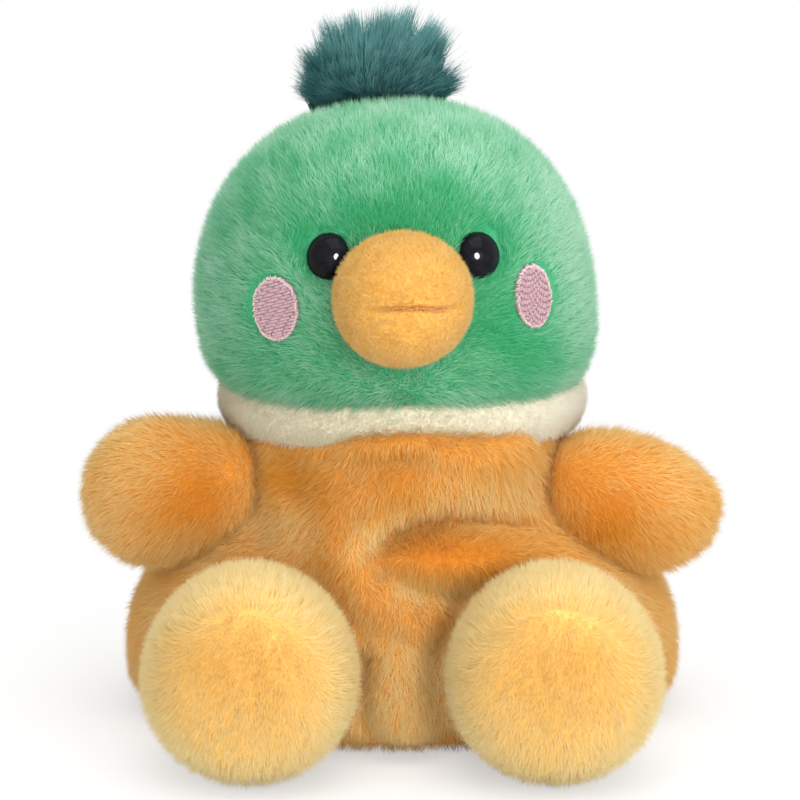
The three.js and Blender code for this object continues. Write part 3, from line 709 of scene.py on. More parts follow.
def head_pile(seed):
    at, out = scatter(head_local, PILE_DENSITY, seed)
    keep = (near_oval(at, BEAK_SPOT, BEAK_HALF, BEAK_HALF) > BEAK_BARE) & (at[:, 2] > -HEAD_DROP * CHIN_BARE)
    short = parted(at[:, 1] - HEAD_SEAM)
    for spot, half_x, half_z, bare, start, shortest in PRESSED:
        near = near_oval(at, spot, half_x, half_z)
        keep &= near > bare
        short = np.minimum(short, np.clip((near - start) / PRESSED_RISE, shortest, 1))
    at, out, short = at[keep], out[keep], short[keep]
    # The tone spots are painted light and shade: pale at the crown and on the side towards the key lamp,
    # paler under the beak to lift its shade, darker on the far side, and deep green between and under the
    # eyes and low on the cheeks.
    change = soft_spots(at[:, 0] / MM, at[:, 2] / MM, HEAD_SHEEN_SHADE_SPOTS)
    change *= smooth_step(-at[:, 1] / HEAD_REACH, 0, 0.3)
    tone = HEAD_TONE + change + HEAD_CLOUD * clouds(at, HEAD_CLOUD_SIZE, seed + 5)
    lean = np.radians(np.clip(HEAD_LEAN - HEAD_LEAN_BY_TONE * change, *HEAD_LEAN_RANGE))
    from_chin = at - np.array([0, -HEAD_REACH, -HEAD_DROP])
    aim = brushed(at, out, from_chin, lean, seed + 7, HEAD_RUFFLE)
    for spot in EYE_SPOTS.values():
        # Painted shade: the pile round each eye is painted darker.
        close = EYE_SHADE_REACH - near_oval(at, spot, EYE_RADIUS, EYE_RADIUS)
        tone -= EYE_SHADE * np.clip(close, 0, 1)
        aim[:, 0] += EYE_HUG * np.clip(close / PRESSED_RISE, 0, 1) * (spot[0] - at[:, 0]) / EYE_RADIUS
    length = HEAD_LENGTH * short * np.random.default_rng(seed + 9).uniform(*LENGTH_SPREAD, len(at))
    look = {"tone": toned(tone, seed + 11, HEAD_SPREAD), "material": green_pile, "seed": seed + 13}
    return grow("head_pile", at, out, unit(aim), length, **look, place=head_place, split=True)


for fur in head_pile(11):
    sewn_on(fur, "head", "pile_green")

# %% [markdown]
# The eyes are moulded plastic domes on a shank, locked behind the cloth by a ring. A lathe is the honest
# way to make both: a profile turned round its axis. Moulded ABS is very smooth, so its gloss shows the
# lamp as a clear round spot. The lamp for that spot lights only the eyes, as a photographer's small
# catchlight does.

# %% Eyes
EYE_DOME, EYE_RIM, EYE_EDGE = 3.9 * MM, 0.7 * MM, 0.15 * MM
EYE_SINK = {"left": 2.95 * MM, "right": 2.65 * MM}
EYE_TURN = math.radians(25)  # the shank pulls the cloth in at an angle, so the domes look outward
SHANK_RADIUS, SHANK_LENGTH = 1.2 * MM, 8 * MM
DOME_ROWS, EYE_AROUND, RING_AROUND = 22, 56, 40
WASHER_PROFILE = [(1.35, -3.8), (3.0, -3.8), (3.3, -3.5), (3.3, -3.3), (3.0, -3.0), (1.35, -3.0)]  # in mm


def lathe(profile, steps):
    """A profile of (radius, height) turned round z, as a grid that can be closed."""
    angle = np.linspace(0, 2 * np.pi, steps, endpoint=False)
    radius, height = np.array(profile).T[:, :, None]
    return np.stack([radius * np.cos(angle), radius * np.sin(angle), height + 0 * angle], -1)


def eye_profile():
    rise = np.linspace(0, np.pi / 2, DOME_ROWS)[:-1]
    dome = [(EYE_RADIUS * math.cos(a), EYE_RIM + (EYE_DOME - EYE_RIM) * math.sin(a)) for a in rise]
    shank = [(SHANK_RADIUS, -SHANK_LENGTH), (SHANK_RADIUS, -EYE_EDGE), (SHANK_RADIUS, 0)]
    edge = [(EYE_RADIUS - EYE_EDGE, 0), (EYE_RADIUS, EYE_EDGE), (EYE_RADIUS, EYE_RIM - EYE_EDGE)]
    return shank + edge + dome + [(EYE_RADIUS * 0.01, EYE_DOME)]


gloss_black = patterned(
    "moulded_abs_gloss_black",
    "ShaderNodeTexNoise",
    {"Scale": 600, "Detail": 3},
    [(0.3, "#020203"), (0.8, "#060607")],
    rough=(0.04, 0.09),
    Roughness=0.06,
    IOR=1.5,
    Specular_IOR_Level=0.06,
)
nylon = patterned(
    "moulded_nylon_natural",
    "ShaderNodeTexNoise",
    {"Scale": 350, "Detail": 2},
    [(0.3, "#dfdcd0"), (0.7, "#eeece3")],
    Roughness=0.42,
    IOR=1.53,
    Subsurface_Weight=0.3,
    Subsurface_Scale=1 * MM,
)
eyes_lit = bpy.data.collections.new("eyes_lit")
for side, (x, z) in EYE_SPOTS.items():
    outward = Matrix.Rotation(math.copysign(EYE_TURN, x), 4, "Y")
    stand = head_place @ face_frame(x, z) @ outward @ Matrix.Translation((0, 0, -EYE_SINK[side]))
    eye = closed_grid(side + "_eye_dome", turned(lathe(eye_profile(), EYE_AROUND), stand), gloss_black)
    eyes_lit.objects.link(sewn_on(eye, "head", "eye_black", side + "_eye"))
    ring = turned(lathe(np.array(WASHER_PROFILE) * MM, RING_AROUND), stand)
    sewn_on(ring_grid(side + "_eye_lock_ring", ring, nylon), "head", "washer_nylon", side + "_eye_washer")
lamps["catchlight"].light_linking.receiver_collection = eyes_lit

# %% [markdown]
# The cheeks are machine embroidery in shiny rayon thread: a fill of parallel rows, cut up into short
# stitches, and a satin rim of stitches that cross the edge. Each stitch is a small arched capsule, so
# that light breaks on it as it does on thread. The pad under them is painted darker than the thread, a
# painted shade between the rows, where the needle pulls the cloth down.

# %% Thread
STITCH_SIDES, STITCH_STEPS = 6, 7


def thread_finish(name, dark, light):
    """Twisted rayon: a fine mottle of light and dark, with a satin gloss."""
    gloss = {"Roughness": 0.38, "Sheen_Weight": 0.3, "IOR": 1.5}
    stops = [(0.3, dark), (0.68, light)]
    return patterned(name, "ShaderNodeTexNoise", {"Scale": 2600, "Detail": 2}, stops, **gloss)


def stitch_mesh(name, starts, ends, out, width, rise, material):
    """Arched capsules from starts to ends, raised along one outward direction."""
    n = len(starts)
    share = np.linspace(0, 1, STITCH_STEPS)
    swell = np.sqrt(np.clip(1 - (2 * share - 1) ** 4, 0.03, 1))
    run = ends - starts
    side = unit(np.cross(run, out))
    angle = np.linspace(0, 2 * np.pi, STITCH_SIDES, endpoint=False)[:, None]
    ring = side[:, None] * np.cos(angle) + out * np.sin(angle)
    arch = (np.sin(np.pi * share) * rise)[:, None]
    centre = starts[:, None] + run[:, None] * share[:, None] + out * arch
    verts = centre[:, :, None] + ring[:, None] * (width / 2 * swell)[:, None, None]
    block = STITCH_SIDES * STITCH_STEPS
    quads = grid_quads(STITCH_STEPS, STITCH_SIDES)
    caps = [list(range(STITCH_SIDES))[::-1], [block - STITCH_SIDES + k for k in range(STITCH_SIDES)]]
    faces = [list(q + i * block) for i in range(n) for q in quads]
    faces += [[k + i * block for k in cap] for i in range(n) for cap in caps]
    print(name, n, "stitches")
    return solid(name, verts.reshape(-1, 3), faces, material)


# %% [markdown]
# A cheek's stitches are laid out flat round its middle and then pressed on the face. The rows are cut with
# a stagger, as a machine does it, and each row sits a hair off its line.

# %% Cheek embroidery
ROW_PITCH, ROW_STEP = 0.5 * MM, 0.05 * MM
SHORTEST_STITCH, STITCH_JOG = 0.3 * MM, 0.03 * MM
FILL_WIDTH, FILL_ARCH = 0.58 * MM, 0.1 * MM
RIM_WIDTH, RIM_STITCHES, RIM_WOBBLE = 0.7 * MM, 110, 0.1 * MM
RIM_THREAD, RIM_ARCH, RIM_SLANT = 0.27 * MM, 0.2 * MM, 0.05
THREAD_SINK = 1.2 * MM
PAD_AROUND, PAD_RINGS, PAD_SHARE = 48, 12, 0.96
PAD_ARCH, PAD_DIP, PAD_EDGE = 0.32, 0.25, -1.2  # in mm: its rise, how deep it starts, and its turned edge
FILL_LIFT, RIM_INNER_LIFT, RIM_OUTER_LIFT = 0.02 * MM, -0.05 * MM, -0.15 * MM
RIM_COVER = 0.7  # the share of the rim that covers the ends of the fill


def on_cheek(side, u, v, lift):
    """Places around a cheek's middle, raised above the pressed pile, and the outward direction there."""
    stand = face_frame(*CHEEK_SPOTS[side])
    flat = turned(np.stack([u, v, np.zeros_like(u)], 1), stand)
    flat[:, 1] = face_depth(flat[:, 0], flat[:, 2], THREAD_SINK)
    out = np.array(stand.to_3x3().col[2])
    return turned(flat + out * lift, head_place), turned(out, spin_of(head_place))


def cheek_rows(tilt, stitch_length, half_u, half_v, seed):
    """Both ends of every fill stitch: rows across an oval, cut up with a stagger."""
    rng = np.random.default_rng(seed)
    along, across = np.array([math.cos(tilt), math.sin(tilt)]), np.array([-math.sin(tilt), math.cos(tilt)])
    starts, ends = [], []
    reach = max(half_u, half_v) * 1.2
    for row, offset in enumerate(np.arange(-reach, reach, ROW_PITCH)):
        steps = np.arange(-reach, reach, ROW_STEP)
        line = offset * across + steps[:, None] * along
        inside = steps[(line[:, 0] / half_u) ** 2 + (line[:, 1] / half_v) ** 2 < 1]
        if len(inside) < 3:
            continue
        cut = inside[0] + (row % 3) * stitch_length / 3
        edges = [inside[0], *np.arange(cut, inside[-1], stitch_length)[1 - (row % 3 > 0) :], inside[-1]]
        for a, b in zip(edges, edges[1:]):
            if b - a > SHORTEST_STITCH:
                jog = rng.normal(0, STITCH_JOG, 2)
                starts.append(offset * across + a * along + jog)
                ends.append(offset * across + b * along + jog)
    return np.array(starts), np.array(ends)


pink_thread = thread_finish("rayon_thread_pink", "#c9a2a8", "#e2c6c8")
rose_thread = thread_finish("rayon_thread_rose", "#a27d86", "#c29fa5")
# The pad is painted darker than the thread, a painted shade between the rows.
cheek_pad_shade_finish = knit_finish("pressed_knit_mauve", "#ac858e", "#9c757f")


def make_cheek(side, tilt, stitch_length, seed):
    half_u, half_v = CHEEK_HALF_WIDTH[side], CHEEK_HALF_HEIGHT
    angle = np.linspace(0, 2 * np.pi, PAD_AROUND, endpoint=False)
    rings = np.linspace(1, 0.02, PAD_RINGS)
    lifts = [(1.0, PAD_EDGE * MM), *((r, (PAD_ARCH * (1 - r**4) - PAD_DIP) * MM) for r in rings)]
    u, v = PAD_SHARE * half_u * np.cos(angle), PAD_SHARE * half_v * np.sin(angle)
    pad = np.array([on_cheek(side, r * u, r * v, lift)[0] for r, lift in lifts])
    pad = closed_grid(side + "_cheek_pad", pad, cheek_pad_shade_finish)
    sewn_on(pad, "head", "thread_pink", side + "_cheek_embroidery")
    inside = half_u - RIM_COVER * RIM_WIDTH, half_v - RIM_COVER * RIM_WIDTH
    rows = cheek_rows(tilt, stitch_length, *inside, seed)
    (start, out), (end, _) = (on_cheek(side, *row.T, FILL_LIFT) for row in rows)
    fill = stitch_mesh(side + "_cheek_fill", start, end, out, FILL_WIDTH, FILL_ARCH, rose_thread)
    sewn_on(fill, "head", "thread_pink")
    wobble = np.random.default_rng(seed + 1).normal(0, RIM_WOBBLE, RIM_STITCHES)
    turn = np.linspace(0, 2 * np.pi, RIM_STITCHES, endpoint=False)
    inner, outer = (
        on_cheek(side, (half_u - inset + wobble) * np.cos(a), (half_v - inset + wobble) * np.sin(a), lift)[0]
        for inset, a, lift in ((RIM_WIDTH, turn, RIM_INNER_LIFT), (0, turn + RIM_SLANT, RIM_OUTER_LIFT))
    )
    rim = stitch_mesh(side + "_cheek_rim", inner, outer, out, RIM_THREAD, RIM_ARCH, pink_thread)
    sewn_on(rim, "head", "thread_pink")


make_cheek("right", math.radians(15), 2.4 * MM, 21)
make_cheek("left", math.radians(72), 1.05 * MM, 23)

# %% [markdown]
# The beak is a small stuffed ball of very short pile, sewn on the face. The mouth is one line of back
# stitches that pulls the cloth in, so the crease runs on past the thread on both sides. The fuzz is less
# than 1 mm high, so its cloth lies close under the frame's solid.

# %% Beak
BEAK_HALF_X, BEAK_HALF_Z, BEAK_REACH, BEAK_BACK = 11.9 * MM, 11.5 * MM, 14.5 * MM, 13 * MM
BEAK_POWER_UP, BEAK_POWER_DOWN, BEAK_POWER = 2.15, 2.6, 2.05
FUZZ_DEPTH = 0.7 * MM
MOUTH_SLOPE, MOUTH_RISE, MOUTH_WAVE, MOUTH_WAVE_STEP = -0.06, 0.4 * MM, 0.25 * MM, 2.1 * MM
MOUTH_MIDDLE, MOUTH_HALF = 1.4 * MM, 8.6 * MM
MOUTH_CREASES = [(0.8, 0.55), (0.45, 2.4)]  # depth and breadth in mm: the thread's own, and a soft one
MOUTH_FADE = 4 * MM  # the creases end where the beak turns to the face
beak_place = (
    head_place
    @ Matrix.Translation((BEAK_SPOT[0], -HEAD_REACH, BEAK_SPOT[1]))
    @ Matrix.Rotation(math.pi / 2, 4, "X")
)
amber_knit = knit_finish("knit_backing_amber", "#edb354", "#d2963c")


def mouth_line(x):
    """The height of the mouth's line on the beak at a place across it."""
    return MOUTH_RISE + MOUTH_SLOPE * x + MOUTH_WAVE * np.cos(x / MOUTH_WAVE_STEP)


def mouth_share(x):
    """1 along the mouth, falling to 0 at its corners."""
    return np.clip(1 - ((x - MOUTH_MIDDLE) / MOUTH_HALF) ** 4, 0, 1)


heights, width = ball_rings(BEAK_REACH - FUZZ_DEPTH, BEAK_BACK, 70, BEAK_POWER_UP, BEAK_POWER_DOWN)
reach_z = (BEAK_HALF_Z - FUZZ_DEPTH) * width
beak_local = oval_stack(heights, (BEAK_HALF_X - FUZZ_DEPTH) * width, reach_z, reach_z, BEAK_POWER, 110)
from_line = beak_local[..., 1] - mouth_line(beak_local[..., 0])
on_front = np.clip(beak_local[..., 2] / MOUTH_FADE, 0, 1)
pull = sum(depth * bell(from_line, breadth * MM) for depth, breadth in MOUTH_CREASES) * MM
beak_local = pulled_in(beak_local, pull * mouth_share(beak_local[..., 0]) * on_front)
beak_cloth = closed_grid("beak_cloth", turned(beak_local, beak_place), amber_knit)
sewn_on(beak_cloth, "head", "pile_amber", "beak_skin", fill=0.9)


# %% [markdown]
# The beak's fuzz stands up and is ruffled every way. In the crease of the mouth it is shorter, and painted
# darker as shade; its top is painted a little darker too, a painted shade under the lamps above.
# The thread lies in the crease as a row of back stitches.

# %% Beak fuzz and mouth
FUZZ_LENGTH, FUZZ_LENGTHS, FUZZ_WIDTH, FUZZ_DENSITY = 0.95 * MM, (0.6, 1.25), 0.13 * MM, 15
FUZZ_LEAN, FUZZ_RUFFLE, FUZZ_CLUMP = math.radians(58), 0.9, 1.4 * MM
FUZZ_TONE, FUZZ_PAINTED_SHADE_BY_HEIGHT, FUZZ_CLOUD, FUZZ_CLOUD_SIZE = 0.36, 0.02, 0.1, 5 * MM
VALLEY_WIDTH, VALLEY_PAINTED_SHADE, VALLEY_SHORT = 0.5 * MM, 0.5, 0.35
MOUTH_STITCHES, MOUTH_STITCH_RANGE = 8, (-2.2 * MM, 6.8 * MM)
MOUTH_THREAD, MOUTH_ARCH, MOUTH_SINK = 0.3 * MM, 0.24 * MM, 0.8 * MM
MOUTH_JOG, MOUTH_OVERLAP = 0.12 * MM, 0.15 * MM
amber_pile = plush_finish(
    "short_polyester_pile_amber", ("#d0983a", "#e4aa4c", "#edbc64"), ("#dcaa52", "#efc678", "#fae1a8")
)
orange_thread = thread_finish("rayon_thread_orange", "#cb6f2c", "#e68f46")


def beak_fuzz(seed):
    at, out = scatter(beak_local, FUZZ_DENSITY, seed)
    keep = at[:, 2] > -1.5 * MM
    at, out = at[keep], out[keep]
    nap = np.stack([at[:, 0] * 0.4, at[:, 1] * 0.4 + 3 * MM, -np.full(len(at), 2 * MM)], 1)
    valley = bell(at[:, 1] - mouth_line(at[:, 0]), VALLEY_WIDTH) * mouth_share(at[:, 0])
    cloud = FUZZ_CLOUD * clouds(at, FUZZ_CLOUD_SIZE, seed + 3)
    # Painted shade: the fuzz is painted darker towards the beak's top and in the mouth's crease.
    tone = toned(FUZZ_TONE - FUZZ_PAINTED_SHADE_BY_HEIGHT * at[:, 1] / MM + cloud - VALLEY_PAINTED_SHADE * valley, seed + 9)
    aim = brushed(at, out, nap, FUZZ_LEAN, seed + 5, FUZZ_RUFFLE, FUZZ_CLUMP)
    length = FUZZ_LENGTH * np.random.default_rng(seed + 7).uniform(*FUZZ_LENGTHS, len(at))
    length *= 1 - VALLEY_SHORT * valley
    return grow("beak_fuzz", at, out, aim, length, tone, amber_pile, seed + 11, FUZZ_WIDTH, beak_place)


def beak_surface(x, y):
    """How far the beak's cloth reaches at a place of its front."""
    share = (np.abs(x) / BEAK_HALF_X) ** BEAK_POWER + (np.abs(y) / BEAK_HALF_Z) ** BEAK_POWER
    return (BEAK_REACH - FUZZ_DEPTH) * (1 - share ** (BEAK_POWER_UP / BEAK_POWER)) ** (1 / BEAK_POWER_UP)


def mouth_thread(seed):
    edges = np.linspace(*MOUTH_STITCH_RANGE, MOUTH_STITCHES + 1)
    jog = np.random.default_rng(seed).normal(0, MOUTH_JOG, (2, MOUTH_STITCHES))
    ends = []
    for x, shift in ((edges[:-1] - MOUTH_OVERLAP, jog[0]), (edges[1:] + MOUTH_OVERLAP, jog[1])):
        y = mouth_line(x) + shift
        ends.append(turned(np.stack([x, y, beak_surface(x, y) - MOUTH_SINK], 1), beak_place))
    out = turned(np.array([0, 0, 1.0]), spin_of(beak_place))
    return stitch_mesh("mouth_thread", *ends, out, MOUTH_THREAD, MOUTH_ARCH, orange_thread)


for fur in beak_fuzz(31):
    sewn_on(fur, "head", "pile_amber")
sewn_on(mouth_thread(37), "head", "thread_orange", "mouth_stitch")

# %% [markdown]
# The tuft is a strip of fur with fibres five times as long as the rest, sewn into the seam over the
# crown. They spread into a puff, like a small pompom, and gather into locks: each fibre starts out its
# own way and bends towards its lock. Each is a thin closed tube of a few segments that narrows to a
# point. Low down the puff is painted nearly black and it pales upward, a painted shade where little
# light gets in. The strip that carries it lies between the cloth and the filling.

# %% Tuft paths
TUFT_ROOT_WIDTH, TUFT_ROOT_DEPTH = 11.5 * MM, 3.4 * MM
TUFT_SHIFT, TUFT_BACK = -0.6 * MM, 6.2 * MM
TUFT_REACH = np.array([15.2, 7.8, 12.4]) * MM  # half sizes of the puff
TUFT_MIDDLE = 5.0 * MM  # how high its middle stands over the cloth
TUFT_SKEW = 0.13  # how far it leans to the duck's left
TUFT_FIBRES, TUFT_LOCKS, TUFT_SEGMENTS = 18000, 90, 3
LOOSE_SHARE, LOOSE_PULL, LOCK_PULL = 0.2, 0.05, (0.3, 0.75)  # how strongly fibres bend to their locks
TUFT_CLEAR = (0.5 * MM, 4 * MM)  # how far the lowest tips stay off the cloth
PUFF_LOW = -0.4  # how far down its directions go
LOCK_REACH, FIBRE_REACH, FIBRE_REACH_POWER = (0.84, 1.08), (0.55, 1.04), 0.6
ROOT_SPREAD_X, ROOT_SPREAD_Y = (0.55, 1), (0.2, 1)  # shares of the strip's half sizes
TIP_JITTER = 0.5 * MM
TUFT_BEND = np.array([0.35, 0.35, 0.75])  # where between root and tip a fibre is pulled to


def crown_height(x, y, inset):
    """The height of the head's surface above its widest ring at a place near the crown."""
    wide, deep = np.abs(x) / (HEAD_HALF_WIDTH - inset), np.abs(y) / (HEAD_REACH - inset)
    share = np.clip((wide**HEAD_POWER + deep**HEAD_POWER) ** (1 / HEAD_POWER), 0, 1)
    return (HEAD_RISE - inset) * (1 - share**CROWN_POWER) ** (1 / CROWN_POWER)


def puff_directions(count, rng):
    """Directions spread evenly over a ball, without its underside."""
    rise = rng.uniform(PUFF_LOW, 1, count)
    turn = rng.uniform(0, 2 * np.pi, count)
    flat = np.sqrt(1 - rise**2)
    return np.stack([flat * np.cos(turn), flat * np.sin(turn), rise], 1)


def tuft_paths(seed):
    """The middle line of every fibre."""
    rng = np.random.default_rng(seed)
    locks = puff_directions(TUFT_LOCKS, rng)
    lock_reach = rng.uniform(*LOCK_REACH, TUFT_LOCKS)
    own = puff_directions(TUFT_FIBRES, rng)
    lock = np.concatenate([(part @ locks.T).argmax(1) for part in np.array_split(own, 20)])
    loose = rng.random(TUFT_FIBRES) < LOOSE_SHARE
    pull = np.where(loose, LOOSE_PULL, rng.uniform(*LOCK_PULL, TUFT_FIBRES))[:, None]
    aim = unit(own * (1 - pull) + locks[lock] * pull)
    x = TUFT_SHIFT + TUFT_ROOT_WIDTH * own[:, 0] * rng.uniform(*ROOT_SPREAD_X, TUFT_FIBRES)
    y = TUFT_BACK + TUFT_ROOT_DEPTH * own[:, 1] * rng.uniform(*ROOT_SPREAD_Y, TUFT_FIBRES)
    root = np.stack([x, y, crown_height(x, y, PILE_DEPTH)], 1)
    middle = np.array([TUFT_SHIFT, TUFT_BACK, HEAD_RISE - PILE_DEPTH + TUFT_MIDDLE])
    reach = lock_reach[lock] * rng.uniform(*FIBRE_REACH, TUFT_FIBRES) ** FIBRE_REACH_POWER
    tip = middle + aim * TUFT_REACH * reach[:, None] + rng.normal(0, TIP_JITTER, aim.shape)
    tip[:, 0] += TUFT_SKEW * (tip[:, 2] - HEAD_RISE)
    clear = rng.uniform(*TUFT_CLEAR, TUFT_FIBRES)
    tip[:, 2] = np.maximum(tip[:, 2], crown_height(tip[:, 0], tip[:, 1], 0.0) + clear)
    share = np.linspace(0, 1, TUFT_SEGMENTS + 1)[None, :, None]
    bend = root + (tip - root) * TUFT_BEND
    weights = ((1 - share) ** 2, 2 * share * (1 - share), share**2)
    return sum(weight * end[:, None] for weight, end in zip(weights, (root, bend, tip)))


tuft_path = tuft_paths(41)
in_front = tuft_path[:, -1, 1] < TUFT_BACK
print("tuft", in_front.sum(), "fibres in front,", (~in_front).sum(), "behind")

# %% [markdown]
# Along its path each fibre is a three-sided tube. It shades partly as the whole puff does, as if that were
# one round body, and partly as the thread it is.

# %% Tuft fibres
TUFT_RADIUS, TUFT_TAPER, TUFT_ROUND = 0.075 * MM, 0.86, 0.9
TUFT_SHADE_DEPTH = 4 * MM  # how deep under the crown the middle of its shading lies
TUFT_TONE, TUFT_PAINTED_LIGHT_BY_HEIGHT, TUFT_SPREAD = 0.08, 0.45, 0.2
TUFT_CLOUD, TUFT_CLOUD_SIZE = 0.14, 4 * MM
teal_pile = plush_finish(
    "long_polyester_pile_teal",
    ("#051b1e", "#104145", "#216262"),
    ("#0b363a", "#276b6d", "#7ebab4"),
    roughness=0.42,
)


def tuft_fibres(name, path, seed):
    """The fibres along their paths, as three-sided tubes."""
    n, rows = path.shape[:2]
    share = np.linspace(0, 1, rows)
    aim = unit(np.gradient(path, axis=1))
    side = unit(np.cross(aim, np.array([0.2, 1.0, 0.1])))
    other = np.cross(aim, side)
    radius = TUFT_RADIUS * (1 - TUFT_TAPER * share**1.5)
    verts, shade = np.zeros((2, n, rows, 3, 3))
    volume = unit(path - np.array([TUFT_SHIFT, TUFT_BACK, HEAD_RISE - TUFT_SHADE_DEPTH]))
    for k in range(3):
        angle = k * 2 * np.pi / 3
        radial = side * math.cos(angle) + other * math.sin(angle)
        verts[:, :, k] = path + radial * radius[None, :, None]
        shade[:, :, k] = unit(volume + TUFT_ROUND * radial)
    quads = grid_quads(rows, 3)
    tip_face = [rows * 3 - 3, rows * 3 - 2, rows * 3 - 1]
    faces = np.concatenate([quads[:, [0, 1, 2]], quads[:, [0, 2, 3]], [[2, 1, 0], tip_face]])
    corners = (np.arange(n)[:, None, None] * rows * 3 + faces).reshape(-1)
    # Painted shade: fibres whose tips stay low are painted darker, and those high in the puff paler.
    high = smooth_step(path[:, -1, 2], HEAD_RISE - PILE_DEPTH, HEAD_RISE + TUFT_REACH[2])
    cloud = TUFT_CLOUD * clouds(path[:, 0], TUFT_CLOUD_SIZE, seed + 3)
    tone = toned(TUFT_TONE + TUFT_PAINTED_LIGHT_BY_HEIGHT * high + cloud, seed + 5, TUFT_SPREAD)
    us = np.broadcast_to(tone[:, None, None] + (np.arange(3) - 1) * TONE_HALF, (n, rows, 3))
    vs = np.broadcast_to((ROOT_V + (TIP_V - ROOT_V) * share)[None, :, None], (n, rows, 3))
    verts = turned(verts.reshape(-1, 3), head_place)
    shade = turned(shade.reshape(-1, 3), spin_of(head_place))
    return sewn_on(fibre_mesh(name, verts, corners, us, vs, shade, teal_pile), "head", "pile_teal")


tuft_front = tuft_fibres("tuft_fibres_front", tuft_path[in_front], 42)
tuft_fibres("tuft_fibres_back", tuft_path[~in_front], 43)
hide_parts("tuft_pile")

# %% [markdown]
# The strip that carries the tuft is a flat oval of knit. It follows the crown, just under its cloth.

# %% Backing strip of the tuft
BACKING_TOP, BACKING_LOW = PILE_DEPTH + 0.15 * MM, PILE_DEPTH + 0.75 * MM
BACKING_HALF_X, BACKING_HALF_Y = 1.04 * TUFT_ROOT_WIDTH, 1.1 * TUFT_ROOT_DEPTH
teal_knit = knit_finish("knit_backing_teal", "#1c4d52", "#123a3f")


def backing_strip():
    turn = np.linspace(0, 2 * np.pi, 60, endpoint=False)
    reaches = np.linspace(0.05, 1, 10)
    strip = []
    for reach, depth in [(r, BACKING_LOW) for r in reaches] + [(r, BACKING_TOP) for r in reaches[::-1]]:
        x = TUFT_SHIFT + BACKING_HALF_X * reach * np.cos(turn)
        y = TUFT_BACK + BACKING_HALF_Y * reach * np.sin(turn)
        strip.append(np.stack([x, y, crown_height(x, y, depth)], 1))
    return closed_grid("tuft_backing_strip", turned(np.array(strip), head_place), teal_knit)


sewn_on(backing_strip(), "head", "knit_backing", "tuft_backing")

# %% [markdown]
# The body is a slack bag: beans fill the seat, so the hips are wide, and the chest hangs in folds. Its
# form is the frame's stack of ovals with the same creases, made narrower here, and soft swells between
# them. A cloth simulation would fold in places of its own; the folds of this toy have known places, so
# they are drawn as lines and spots on its front, each with a depth and a breadth. The slack top edge
# rolls over the neck band in front.

# %% Body form
BODY_HALF_WIDTH, BODY_FRONT, BODY_BACK, BODY_HEIGHT = 49.7 * MM, 37 * MM, 35 * MM, 48 * MM
BODY_POWER = 2.25
BODY_OUTLINE = [  # height, half width and reach, as shares
    (0, 0.9, 0.9), (0.045, 0.955, 0.955), (0.12, 0.99, 0.99), (0.22, 1, 1), (0.34, 0.99, 1),
    (0.44, 0.955, 0.985), (0.55, 0.875, 0.95), (0.67, 0.755, 0.9), (0.79, 0.655, 0.845),
    (0.9, 0.615, 0.8), (1, 0.6, 0.77), (1.1, 0.59, 0.75), (1.17, 0.56, 0.69),
]  # fmt: skip
# Creases and ridges of the front in mm: both ends (x, z), depth and breadth.
CREASES = [
    (-3.2, 35.6, -1, 36.9, 2.6, 2.0), (-1, 36.9, 3, 38.3, 3.6, 2.1), (3, 38.3, 8, 39.0, 4.2, 2.2),
    (8, 39.0, 14, 38.0, 4.2, 2.2), (14, 38.0, 21, 36.6, 3.8, 2.4), (21, 36.6, 32, 35.0, 3.0, 2.8),
    (-5.5, 34.5, -3.6, 32, 1.5, 2.8), (-3.6, 32, 3, 28.2, 1.7, 2.8), (3, 28.2, 9.2, 26.6, 1.6, 2.6),
    (9.2, 26.6, 7.1, 22, 2.6, 2.6), (7.1, 22, 5.4, 17, 2.8, 2.6), (5.4, 17, 5.2, 11, 2.6, 2.6),
    (5.2, 11, 7.9, 1, 2.4, 2.8), (-6.5, 17.8, -6.7, 14, 2.6, 1.7), (-6.7, 15, -6.5, 8, 1.8, 1.5),
    (-6.5, 8, -3.6, 2, 1.6, 1.5), (-13, 49.6, 2.5, 51.2, 1.0, 1.4), (-26.5, 52, -24.5, 36, 3.4, 3.6),
    (-20, 48.5, -18, 45, 2.6, 4.2), (27, 53, 24.6, 37, 3.2, 3.2),
]  # fmt: skip
RIDGES = [
    (-12, 44, -10.8, 36, 1.6, 4.8), (-10.8, 36, -7, 29.5, 1.9, 4.4), (-7, 29.5, 4, 23.5, 1.7, 4.2),
    (0, 17, 0.8, 4, 1.6, 5.6), (-12, 43, 0, 45.6, 1.8, 3.8), (0, 45.6, 20, 47.2, 2.2, 4.2),
]  # fmt: skip
# Swells of the front in mm: middle (x, z), half sizes and height.
SWELLS = [(10, 49, 14, 5, 0.8), (9, 33.4, 11, 3.4, 2.6), (-27, 33, 7, 5, 1.0), (0, 10, 20, 12, 3.4)]
# The slack top edge of the front, which lies over the neck band: places (x, z) in mm, and how it rolls over.
HEM = [(-40, 51.2), (-22, 51.4), (-14, 51.2), (-10, 52.6), (-6, 54.2), (0, 55.6), (4, 54.9), (8, 53.8)]
HEM += [(16, 52.8), (22, 53.8), (30, 56)]
HEM_ROLL, HEM_ROLL_RISE, HEM_ROLL_DROP, HEM_ROLL_WIDTH = 2.2, (-14, -4), 2.2, 2.6
HEM_TUCK, HEM_TUCK_RISE = 6.0, (-0.4, 1.4)
FLOOR_FADE = (1 * MM, 4 * MM)
FOLD_FADE = (0.2, 0.75)
BASE_SEAM, SIDE_SEAM = 4 * MM, 1.5 * MM
SEAT_RINGS = 14


